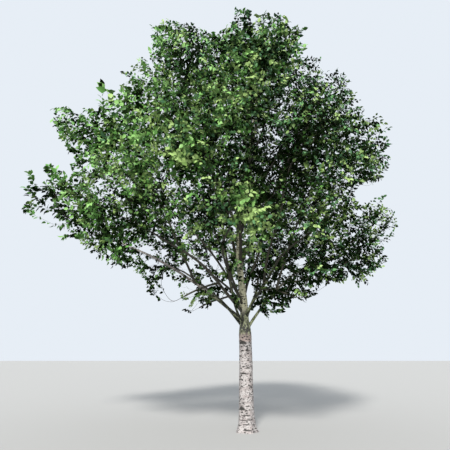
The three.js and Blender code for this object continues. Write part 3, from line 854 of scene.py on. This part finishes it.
def fine_points(mass, masses, root, obstacles, draw, random):
    """Where the finer twigs of a mass end."""
    tries = draws_in_ball(mass, draw, FINE.tries, FINE.scatter)
    tries = tries[in_space(tries, mass, masses, FINE.scatter)]
    tries = tries[edge_share(tries, mass) <= times_at(tries, REACHES)]
    tries = tries[~in_sky_gap(tries) & ~in_hollow(tries) & in_reach(tries)]
    points = spread_points(tries, root, obstacles, FINE.spacing)
    out = edge_share(points, mass) / times_at(points, REACHES)
    airy = 1 - (1 - AIRY.least) * smooth_step(AIRY.start, 1, out)
    chance = fullness(points) * times_at(points, DENSITIES) * airy
    return points[random.random(len(points)) < chance]


def grow_mass(mass, masses, limbs):
    """All the twigs of one mass: the first ones in short steps, then the finer ones."""
    draw = numbers_from(mass.seed + TWIG_SEED)
    random = np.random.default_rng(mass.seed)
    trunk, bough = limbs[0], mass.bough
    root = bough.points[-1] + bough.tip_along * SEAT_GAP
    obstacles = obstacles_near(mass, root, limbs)
    first = first_twigs(mass, masses, root, obstacles, draw)
    twigs = Twigs(TWIG_ROOM)
    last_of = {NONE: twigs.add(root, bough.tip_along)}
    for i in range(first.count):
        last_of[i] = twigs.add_curved(last_of[int(first.parent[i])], first.at[i], fine=False)
    add_limb_nodes(twigs, mass, trunk)
    for point in fine_points(mass, masses, root, obstacles, draw, random):
        choice = twigs.cheapest(point, FINE.least_cosine)
        if choice:
            twigs.add(point, unit(point - twigs.at[choice[0]]), choice[0], fine=True)
    add_shoots(twigs, mass, random)
    add_limb_shoots(twigs, mass, trunk, random)
    for *tip, leaves in SHOOTS_BY_HAND.get(mass.node, []):
        parent = twigs.cheapest(np.array(tip), HAND_COSINE)[0]
        twigs.add_curved(parent, np.array(tip), vigour=leaves)
    return twigs


def place_on(limb, t):
    """A point of a limb's middle line, and the limb's direction there."""
    behind, at = limb.line(np.array([t - BEHIND, t]))
    return at, unit(at - behind)


def add_limb_nodes(twigs, mass, trunk):
    """Nodes along the mass's bough and the leader beside it, which may bear fine twigs too."""
    bough = mass.bough
    if bough is not trunk:
        for t in np.arange(BOUGH_BEARS.start, BOUGH_BEARS.until, FINE.node / bough.length):
            twigs.add(*place_on(bough, t))
    low = max(LEADER_BEARS.start, mass.middle[2] - LEADER_BEARS.below)
    high = min(TRUNK_TOP, mass.middle[2] + LEADER_BEARS.above)
    for z in np.arange(low, high, FINE.node):
        twigs.add(*place_on(trunk, z))


def add_shoots(twigs, mass, random):
    """Long shoots that run on from some of the outermost twigs."""
    bears = np.zeros(twigs.count, dtype=bool)
    bears[twigs.parent[: twigs.count]] = True
    out = edge_share(twigs.at[: twigs.count], mass)
    outermost = twigs.fine[: twigs.count] & ~bears & (out > SHOOTS.beyond)
    for i in np.flatnonzero(outermost):
        pick, length = random.random(), random.uniform(*SHOOTS.sizes)
        away = unit(twigs.at[i] - mass.middle)
        along = unit(twigs.along[i] + SHOOTS.away * away + SHOOTS.rise * UP)
        at = twigs.at[i] + along * length
        if pick < SHOOTS.share and shoot_fits(at[None], mass):
            twigs.add(at, along, i, fine=True)


def shoot_fits(at, mass):
    fits = in_space(at, mass, [], SHOOT_SPACE) & in_reach(at) & ~in_sky_gap(at)
    return bool(fits[0])


def add_limb_shoots(twigs, mass, trunk, random):
    """Short leafy shoots on the mass's bough, and on the leader towards the mass."""
    bough = mass.bough
    feet = []
    if bough is not trunk:
        first, every = BOUGH_SHOOTS.start / bough.length, BOUGH_SHOOTS.every / bough.length
        for t in np.arange(first, BOUGH_SHOOTS.until, every):
            side = random.normal(0, BOUGH_SHOOTS.scatter, 3)
            feet.append((*place_on(bough, t), BOUGH_SHOOTS, side))
    low = max(LEADER_SHOOTS.start, mass.middle[2] - LEADER_BEARS.below)
    for z in np.arange(low, min(TRUNK_TOP, mass.middle[2]), LEADER_SHOOTS.every):
        side = mass.outward + random.normal(0, LEADER_SHOOTS.scatter, 3)
        feet.append((*place_on(trunk, z), LEADER_SHOOTS, side))
    for at, along, kind, side in feet:
        out = unit(unit(side - along * (side @ along)) + SHOOT_ALONG * along)
        tip = at + out * random.uniform(*kind.sizes)
        chance = kind.share * times_at(tip[None], DENSITIES)[0]
        if random.random() < chance and not in_sky_gap(tip[None])[0]:
            twigs.add_curved(twigs.add(at, out), tip, SHOOT_STEPS)


# Meshes.


def add_object(name, data):
    added = bpy.data.objects.new(name, data)
    bpy.context.scene.collection.objects.link(added)
    return added


def mesh_of(name, points, faces, materials, picks=None):
    """An object of faces with one number of sides, each with the material that picks names."""
    faces = np.asarray(faces, dtype=np.int32)
    mesh = bpy.data.meshes.new(name)
    mesh.vertices.add(len(points))
    mesh.vertices.foreach_set("co", np.asarray(points, dtype=np.float32).ravel())
    mesh.loops.add(faces.size)
    mesh.loops.foreach_set("vertex_index", faces.ravel())
    mesh.polygons.add(len(faces))
    starts = np.arange(0, faces.size, faces.shape[1], dtype=np.int32)
    mesh.polygons.foreach_set("loop_start", starts)
    for material in materials:
        mesh.materials.append(material)
    if picks is not None:
        mesh.polygons.foreach_set("material_index", np.asarray(picks, dtype=np.int32))
    mesh.update(calc_edges=True)
    return add_object(name, mesh)


def joined(meshes):
    """Several meshes' points and faces as one mesh's."""
    points = [points for points, _ in meshes]
    starts = np.cumsum([0] + [len(each) for each in points[:-1]])
    faces = [faces + start for (_, faces), start in zip(meshes, starts)]
    return np.concatenate(points), np.concatenate(faces)


def give(piece, name, values):
    """A number or a place for each point of a piece, which its material reads."""
    values = np.asarray(values, dtype=np.float32).ravel()
    kind, field = "FLOAT", "value"
    if values.size > len(piece.data.vertices):
        kind, field = "FLOAT_VECTOR", "vector"
    layer = piece.data.attributes.new(name, kind, "POINT")
    layer.data.foreach_set(field, values)


def dress(piece, nodes):
    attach(piece, BODY)
    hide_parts(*nodes)


def ring_faces(rings, sides):
    """Quads between the rings of a tube, with the rings' points in order."""
    ring = np.arange(rings - 1)[:, None] * sides
    side = np.arange(sides)[None, :]
    after = (side + 1) % sides
    above = ring + sides
    quads = np.stack([ring + side, ring + after, above + after, above + side], axis=-1)
    return quads.reshape(-1, 4)


def scar_marks(z, angle, radius):
    """How dark and how sunk the bark is at its old branch scars."""
    mark = np.zeros_like(z)
    for height, degrees, wide, tall in SCARS:
        turn = FRONT + math.radians(degrees)
        sideways = radius * ((angle - turn + math.pi) % TAU - math.pi)
        across = 2 * sideways / wide
        upward = 2 * (z - height + SCAR_DROOP * tall * across**2) / tall
        mark = np.maximum(mark, 1 - smooth_step(*SCAR_RIM, np.hypot(across, upward)))
    return mark


def fleck_marks(z, angle, radius):
    """Short level dashes, one to a cell of a grid round the stem."""
    mark = np.zeros_like(z)
    columns = FLECKS.columns
    u = angle / TAU * columns
    v = z / FLECKS.row
    for di in (-1, 0, 1):
        for dj in (-1, 0, 1):
            i, j = np.floor(u) + di, np.floor(v) + dj
            pick, right, height, size = (cell_noise(i, j, seed, columns) for seed in FLECK_SEEDS)
            size = SMALLEST_FLECK + size
            across = (u - (i + right)) / columns * TAU * radius / (size * FLECKS.wide)
            upward = (v - (j + height)) * FLECKS.row / (size * FLECKS.tall)
            dash = 1 - smooth_step(*FLECK_RIM, np.hypot(across, upward))
            mark = np.maximum(mark, np.where(pick < FLECKS.share, dash, 0))
    return mark


def trunk_relief(z, angle):
    """How far the stem's bark stands out with its wobble, its flakes and their rims."""
    u, around = angle / TAU * CELLS.around, CELLS.around
    wobble = cell_noise(u / 2, z / CELLS.wobble, seed=1, around=around // 2) - 0.5
    flakes = cell_noise(u, z / CELLS.flakes, seed=2, around=around) - 0.5
    rims = cell_noise(u / 2, z / CELLS.rims, seed=3, around=around // 2) ** RIM_POWER
    return RELIEF.wobble * wobble + RELIEF.flakes * flakes + RELIEF.rims * rims


def between(z, band):
    """The most inside a band of heights, and 0 a little way outside it."""
    into = smooth_step(band.low - band.fade, band.low, z)
    return band.much * (into * (1 - smooth_step(band.high, band.high + band.fade, z)))


def make_trunk(material):
    """The trunk and its leader, with flakes, dashes and scars in its surface."""
    fine = np.arange(0, FINE_RINGS.top, FINE_RINGS.step)
    coarse = np.arange(FINE_RINGS.top, TRUNK_TOP, COARSE_RING)
    heights = np.concatenate([fine, coarse, [TRUNK_TOP]])
    angle = np.arange(TRUNK_SIDES) / TRUNK_SIDES * TAU
    z, angle = np.meshgrid(heights, angle, indexing="ij")
    radius = trunk_radius(z)
    scars = scar_marks(z, angle, radius)
    flecks = fleck_marks(z, angle, radius) * (1 - scars)
    relief = trunk_relief(z, angle) + RELIEF.flecks * flecks - RELIEF.scars * scars
    radius = radius * root_swell(z, angle) + relief * np.minimum(radius / STEM_RADIUS, 1)
    radius *= 1 - TOP_NARROWING * (z >= TRUNK_TOP)
    middle = trunk_middle(z)
    x, y = radius * np.cos(angle), radius * np.sin(angle)
    points = np.stack([middle[..., 0] + x, middle[..., 1] - y, middle[..., 2]], axis=-1)
    faces = ring_faces(len(heights), TRUNK_SIDES)[:, ::-1]
    piece = mesh_of("trunk_bark", points.reshape(-1, 3), faces, [material])
    give(piece, "bark_place", np.stack([x, y, z], axis=-1))
    give(piece, "marks", np.maximum(scars, flecks))
    youth = smooth_step(LEADER_YOUTH.foot, LEADER_YOUTH.head, z) * LEADER_YOUTH.much
    give(piece, "youth", youth)
    give(piece, "peel", between(z, PEEL))
    give(piece, "moss", np.maximum(between(z, FORK_MOSS), between(z, LEADER_MOSS)))
    dress(piece, ["trunk"])


def frames_along(points):
    """Two directions across a line at each of its points, with no twist."""
    along = unit(np.gradient(points, axis=0))
    side = FIRST_SIDE
    sides = []
    for direction in along:
        side = unit(side - direction * (side @ direction))
        sides.append(side)
    return np.array(sides), np.cross(sides, along)


def bough_skin(bough, number):
    """A bough's tube with lumps and wrinkles, and its places, its youth and its moss."""
    t = np.linspace(0, 1, BOUGH_RINGS + 1)
    axis = bough.line(t)
    side, other = frames_along(axis)
    angle = np.arange(BOUGH_SIDES) / BOUGH_SIDES * TAU
    t, angle = np.meshgrid(t, angle, indexing="ij")
    run = t * bough.length
    relief = 1
    for kind in (BOUGH_LUMPS, BOUGH_WRINKLES):
        u, v = angle / TAU * kind.around, run / kind.cell
        relief += kind.depth * (cell_noise(u, v, kind.seed + number, kind.around) - 0.5)
    radius = bough_radii(bough, t) * relief
    cos, sin = np.cos(angle) * radius, np.sin(angle) * radius
    ring = axis[:, None] + side[:, None] * cos[..., None] + other[:, None] * sin[..., None]
    tube = (ring.reshape(-1, 3), ring_faces(BOUGH_RINGS + 1, BOUGH_SIDES))
    place = np.stack([cos, sin, run + BARK_SHIFT * number], axis=-1)
    # Boughs that aren't pale take the dark young colours, which are partly painted shade.
    youth = np.full(run.shape, 1 - PALE_BOUGHS.get(bough.name, 0))
    foot = 1 - smooth_step(BOUGH_MOSS.foot, BOUGH_MOSS.fade, run)
    return tube, place, youth, foot * (bough.start[2] < FORK.head)


def make_boughs(boughs, material):
    """All boughs as one piece, with wrinkled collars, knots and a little sway."""
    skins = [bough_skin(bough, number) for number, bough in enumerate(boughs)]
    tubes, places, youth, moss = zip(*skins)
    piece = mesh_of("bough_bark", *joined(tubes), [material])
    give(piece, "bark_place", places)
    give(piece, "youth", youth)
    give(piece, "moss", moss)
    dress(piece, [bough.name for bough in boughs])


def twig_tubes(twigs, own, ends):
    """Three-sided curved tubes from each twig's foot to its end."""
    curve = twigs.curves(own)
    radius = np.minimum(BOUGH_TIP_RADIUS, TWIG_FOOT * ends[own] ** TWIG_POWER)
    points = []
    for share, narrow in TWIG_NARROWING.items():
        at, direction = curve_at(curve, share)
        flat = np.abs(direction[:, 2:]) > STEEP
        side = unit(np.cross(np.where(flat, ACROSS, UP), direction))
        other = np.cross(direction, side)
        for k in range(TWIG_SIDES):
            turn = TAU * k / TWIG_SIDES
            out = side * math.cos(turn) + other * math.sin(turn)
            points.append(at + out * (radius * narrow)[:, None])
    faces = ring_faces(len(TWIG_NARROWING), TWIG_SIDES)
    return copies(np.stack(points, axis=1), faces)


def copies(points, faces):
    """One mesh of many copies of a few faces, each on its own points."""
    starts = np.arange(len(points))[:, None, None] * points.shape[1]
    return points.reshape(-1, 3), (faces[None] + starts).reshape(-1, faces.shape[1])


def leaf_pattern():
    """One leaf along +X: a stalk, and two halves that fold up and bend down at the tip."""
    length, half, stalk = LEAF.length, LEAF.width / 2, LEAF.stalk
    fold = LEAF_FOLDS.up * half
    widest = stalk + LEAF_SHARES.widest * length
    shoulder = stalk + LEAF_SHARES.shoulder * length
    slim = LEAF_SHARES.shoulder_width * half
    points = [
        (0, LEAF.stalk_width / 2, 0),
        (0, -LEAF.stalk_width / 2, 0),
        (stalk, 0, 0),
        (widest, half, fold),
        (shoulder, slim, fold / 2),
        (stalk + LEAF_SHARES.middle * length, 0, LEAF_FOLDS.middle * length),
        (widest, -half, fold),
        (shoulder, -slim, fold / 2),
        (stalk + length, 0, -LEAF_FOLDS.down * length),
    ]
    faces = [(1, 0, 2), (2, 5, 3), (3, 5, 4), (4, 5, 8), (2, 6, 5), (6, 7, 5), (7, 8, 5)]
    return np.array(points), np.array(faces)


def leaf_sizes(at, vigour, random):
    size = random.uniform(*LEAF_SIZES, len(at)) * vigour
    size = size * (1 + LARGER_SIDE.larger * toward(at, LARGER_SIDE))
    return size * np.where(vigour > VIGOROUS.start, 1, times_at(at, LARGER_PLACES))


def leaves_on(twigs, mass, random):
    """Frames of the leaves along the fine twigs: their feet, axes, sizes and sprays."""
    own = np.flatnonzero(twigs.fine[: twigs.count])
    curve = twigs.curves(own)
    count = len(own)
    vigorous = twigs.vigour[own] > VIGOROUS.start
    lean = random.uniform(0, TAU, count)
    frames = []
    for k in range(LEAVES_PER_TWIG):
        share = (k + 1) / LEAVES_PER_TWIG + random.uniform(-LEAF_SHIFT, 0, count)
        share = np.clip(share, LEAF_SHIFT, 1)[:, None]
        at, direction = curve_at(curve, share)
        scatter = random.uniform(-LEAF_SPREAD.scatter, LEAF_SPREAD.scatter, (count, 1))
        spread = np.radians(blend(LEAF_SPREAD.foot, LEAF_SPREAD.tip, share) + scatter)
        level = unit(np.cross(direction, UP))
        other = np.cross(direction, level)
        turn = (lean + k * math.pi + random.uniform(-LEAF_TURN, LEAF_TURN, count))[:, None]
        side = level * np.cos(turn) + other * np.sin(turn)
        axis = unit(direction * np.cos(spread) + side * np.sin(spread) - LEAF_DROOP * UP)
        facing = random.uniform(-LEAF_TILT.level, LEAF_TILT.level, (count, 3))
        facing[:, 2] = random.uniform(LEAF_TILT.low, LEAF_TILT.high, count)
        facing = facing + unit(at - mass.middle) * LEAF_FACING
        facing[vigorous] += VIGOROUS.facing
        size = leaf_sizes(at, twigs.vigour[own], random)
        kept = ~vigorous | ((k + own) % VIGOROUS.every == 0)
        kept &= in_reach(at + axis * LEAF.length)
        kept &= ~in_hollow(at) & ~in_sky_gap(at, LEAF_GAP_SHARE)
        frame = (at, axis, unit(facing), size, own, share[:, 0])
        frames.append([column[kept] for column in frame])
    return [np.concatenate(column) for column in zip(*frames)]


def leaf_meshes(at, axis, facing, size):
    across = unit(np.cross(facing, axis))
    normal = np.cross(axis, across)
    pattern, faces = leaf_pattern()
    scaled = pattern[None] * size[:, None, None]
    points = at[:, None] + axis[:, None] * scaled[..., :1]
    points = points + across[:, None] * scaled[..., 1:2] + normal[:, None] * scaled[..., 2:]
    return copies(points, faces)


def foliage_of(mass, twigs):
    """The twigs' mesh and the leaves' mesh of one mass, and the tint of each leaf's faces."""
    random = np.random.default_rng(mass.seed)
    at, axis, facing, size, own, share = leaves_on(twigs, mass, random)
    leafy = twigs.summed(np.bincount(own, minlength=twigs.count)) > 0
    borne = np.flatnonzero(leafy & (twigs.parent[: twigs.count] != NONE))
    tubes = twig_tubes(twigs, borne, twigs.summed(leafy))
    leaves = leaf_meshes(at, axis, facing, size)
    score = spray_tints(twigs, mass, random)[own] + PAINTED_LIGHT_AND_TONE.tip * (share - 0.5)
    hue = spray_hues(twigs, random)[own]
    tint = np.array(TINTS)[hue, np.digitize(score, TINT_STEPS)]
    return tubes, leaves, np.repeat(tint, len(leaves[1]) // len(at))


def make_foliage(masses, limbs, twig_material, leaf_materials):
    """Twigs and leaves of all masses, each kind joined by tier."""
    tiers = {}
    for mass in masses:
        grown = foliage_of(mass, grow_mass(mass, masses, limbs))
        tiers.setdefault(mass.tier, []).append((mass.node, *grown))
    for tier, grown in tiers.items():
        nodes, tubes, leaves, tints = zip(*grown)
        dress(mesh_of(f"twigs_{tier}", *joined(tubes), [twig_material]), nodes)
        tints = np.concatenate(tints)
        dress(mesh_of(f"leaves_{tier}", *joined(leaves), leaf_materials, tints), nodes)


def from_heart(points):
    """How far out points lie in the whole crown, as shares of its reach along each axis."""
    reach = [CROWN.wide, CROWN.wide, CROWN.high]
    return (points - crown_middle(CROWN.heart)) / reach


def toward(points, side):
    """How far points lie towards one side of the crown, as a share of its reach."""
    return from_heart(points) @ unit(side.toward)


def spray_tints(twigs, mass, random):
    """How light a tint each twig's leaves take, as painted light: lighter further out in the mass
    and the crown and on the sunny side, darker as painted shade in the crown's heart and in shaded
    places, with a random spread of tone.
    """
    at = twigs.at[: twigs.count]
    in_mass = (at - mass.middle) / [mass.across, mass.across, mass.up]
    score = PAINTED_LIGHT_AND_TONE.in_mass * norm(in_mass, axis=1)
    score += PAINTED_LIGHT_AND_TONE.in_crown * np.minimum(norm(from_heart(at), axis=1), 1)
    score += SUNNY_SIDE.fresher * toward(at, SUNNY_SIDE)
    score += random.normal(0, PAINTED_LIGHT_AND_TONE.scatter, twigs.count)
    score += VIGOROUS.fresher * (twigs.vigour[: twigs.count] > VIGOROUS.start)
    pixels = pixels_of(at)
    for *place, in_front_of, fresher in PAINTED_LIGHT_PLACES:
        score += fresher * nearness(pixels, *place) * (at[:, 1] < in_front_of)
    return score


def spray_hues(twigs, random):
    """Which row of TINTS each twig's leaves take: the warm, the cool or the pure greens."""
    at = twigs.at[: twigs.count]
    cool = COOL_SIDE.share + COOL_SIDE.more * toward(at, COOL_SIDE)
    pure = PURE_SIDE.share + PURE_SIDE.more * toward(at, PURE_SIDE)
    dealt = random.random(twigs.count)
    return np.where(dealt < cool, 1, np.where(dealt > 1 - pure, 2, 0))


# Materials.

# Where a colour mix node has its share and its two colours, and its result.
MIX_SOCKETS = (0, 6, 7)
MIX_RESULT = 2


def new_material(name, roughness):
    material = bpy.data.materials.new(name)
    material.use_nodes = True
    tree = material.node_tree
    shader = tree.nodes["Principled BSDF"]
    shader.inputs["Roughness"].default_value = roughness
    return material, tree, shader


def new_node(tree, kind, output, sockets, **settings):
    """A node's output, with its sockets set to plain values or linked to other outputs."""
    node = tree.nodes.new("ShaderNode" + kind)
    for name, value in settings.items():
        setattr(node, name, value)
    for name, value in sockets.items():
        if isinstance(value, bpy.types.NodeSocket):
            tree.links.new(value, node.inputs[name])
        else:
            node.inputs[name].default_value = value
    return node.outputs[output]


def noise(tree, vector, scale, detail=3, rough=0.6, level=1):
    """Noise of so many cells to a metre, drawn out level round a limb by a number above 1."""
    if level != 1:
        sockets = {0: vector, 1: (1, 1, level)}
        vector = new_node(tree, "VectorMath", 0, sockets, operation="MULTIPLY")
    sockets = {"Vector": vector, "Scale": scale, "Detail": detail, "Roughness": rough}
    return new_node(tree, "TexNoise", "Fac", sockets)


def pattern(tree, vector, low, high, **cells):
    """Noise as shares: 0 where it is below low, and 1 where it is above high."""
    sockets = {"Value": noise(tree, vector, **cells), "From Min": low, "From Max": high}
    return new_node(tree, "MapRange", "Result", sockets, interpolation_type="SMOOTHSTEP")


def mixed(tree, share, first, second):
    """A colour between two, each a plain colour or another node's output."""
    colours = [(*each, 1) if isinstance(each, tuple) else each for each in (first, second)]
    sockets = dict(zip(MIX_SOCKETS, (share, *colours)))
    return new_node(tree, "Mix", MIX_RESULT, sockets, data_type="RGBA")


def given(tree, name, output="Fac"):
    """What give() gave the piece under a name."""
    return new_node(tree, "Attribute", output, {}, attribute_name=name)


def bumped(tree, shader, height, strength, distance):
    sockets = {"Height": height, "Strength": strength, "Distance": distance}
    tree.links.new(new_node(tree, "Bump", "Normal", sockets), shader.inputs["Normal"])


def bark_material(name, bark):
    """Pale bark with pinkish patches, small mottles, level dashes, moss and dark scars."""
    material, tree, shader = new_material(name, roughness=0.72)
    place = given(tree, "bark_place", "Vector")
    patches = pattern(tree, place, 0.42, 0.62, scale=7, rough=0.5, level=2.2)
    colour = mixed(tree, patches, bark.pale, bark.pink)
    mottles = pattern(tree, place, 0.5, 0.6, scale=30, rough=0.65, level=1.6)
    colour = mixed(tree, mottles, colour, bark.mottle)
    colour = mixed(tree, given(tree, "peel"), colour, bark.peel)
    rings = pattern(tree, place, 0.54, 0.68, scale=12, rough=0.5, level=3.5)
    young = mixed(tree, rings, bark.young, bark.young_dark)
    colour = mixed(tree, given(tree, "youth"), colour, young)
    tufts = pattern(tree, place, 0.4, 0.6, scale=16)
    moss = mixed(tree, tufts, MOSS.pale, MOSS.green)
    chinks = pattern(tree, place, 0.46, 0.54, scale=19, level=0.45)
    moss = mixed(tree, chinks, moss, MOSS.dark)
    colour = mixed(tree, given(tree, "moss"), colour, moss)
    dashes = pattern(tree, place, *bark.dash_share, scale=26, level=7)
    colour = mixed(tree, dashes, colour, DASH_COLOUR)
    colour = mixed(tree, given(tree, "marks"), colour, SCAR_COLOUR)
    tree.links.new(colour, shader.inputs["Base Color"])
    wrinkles = noise(tree, place, scale=60, detail=4, level=5)
    bumped(tree, shader, wrinkles, strength=0.5, distance=0.004)
    return material


def twig_material():
    material, tree, shader = new_material("twig_bark", roughness=0.6)
    place = new_node(tree, "TexCoord", "Object", {})
    patches = pattern(tree, place, 0.35, 0.65, scale=3, detail=2, rough=0.5)
    tree.links.new(mixed(tree, patches, *TWIG_COLOURS), shader.inputs["Base Color"])
    grain = noise(tree, place, scale=300, detail=2, rough=0.5)
    bumped(tree, shader, grain, strength=0.3, distance=0.001)
    return material


def leaf_material(name, colour, gloss):
    """A slightly glossy leaf of one plain colour, finely puckered between its veins."""
    material, tree, shader = new_material(name, roughness=0.5)
    shader.inputs["Base Color"].default_value = (*colour, 1)
    shader.inputs["Specular IOR Level"].default_value = gloss
    place = new_node(tree, "TexCoord", "Object", {})
    puckers = noise(tree, place, scale=160, detail=2, rough=0.5)
    bumped(tree, shader, puckers, strength=0.25, distance=0.002)
    return material


# The stage.


def make_floor():
    half = FLOOR.half
    points = [(-half, -half, 0), (half, -half, 0), (half, half, 0), (-half, half, 0)]
    material, _, shader = new_material("floor", roughness=0.9)
    shader.inputs["Base Color"].default_value = (*FLOOR.colour, 1)
    floor = mesh_of("floor", points, [(0, 1, 2, 3)], [material])


def make_light():
    world = bpy.data.worlds.new("studio")
    world.use_nodes = True
    background = world.node_tree.nodes["Background"]
    background.inputs["Color"].default_value = (*SKY_LIGHT.colour, 1)
    background.inputs["Strength"].default_value = SKY_LIGHT.strength
    bpy.context.scene.world = world
    bpy.context.scene.view_settings.view_transform = "Standard"
    for name, looks in LAMPS.items():
        lamp = bpy.data.lights.new(name, "SUN")
        lamp.energy = looks.energy
        lamp.angle = math.radians(looks.angle)
        lamp.color = looks.colour
        add_object(name, lamp).rotation_euler = [math.radians(turn) for turn in looks.turn]


def make_camera():
    camera = bpy.data.cameras.new("camera")
    camera.sensor_width = CAMERA.sensor
    camera.lens = CAMERA.sensor * CAMERA.focal_pixels / IMAGE.width
    camera.clip_end = CAMERA.far
    holder = add_object("camera", camera)
    holder.location = CAMERA.at
    holder.rotation_euler = (math.radians(90 + CAMERA.tilt), 0, 0)
    bpy.context.scene.camera = holder


def build():
    make_camera()
    make_light()
    make_floor()
    trunk = trunk_limb()
    masses = plan_crown(trunk)
    boughs = [mass.bough for mass in masses if mass.bough is not trunk]
    make_trunk(bark_material("stem_bark", STEM_BARK))
    make_boughs(boughs, bark_material("limb_bark", BOUGH_BARK_AND_PAINTED_SHADE))
    leaf_materials = [leaf_material(name, *looks) for name, looks in LEAF_TINTS.items()]
    make_foliage(masses, [trunk, *boughs], twig_material(), leaf_materials)


build()
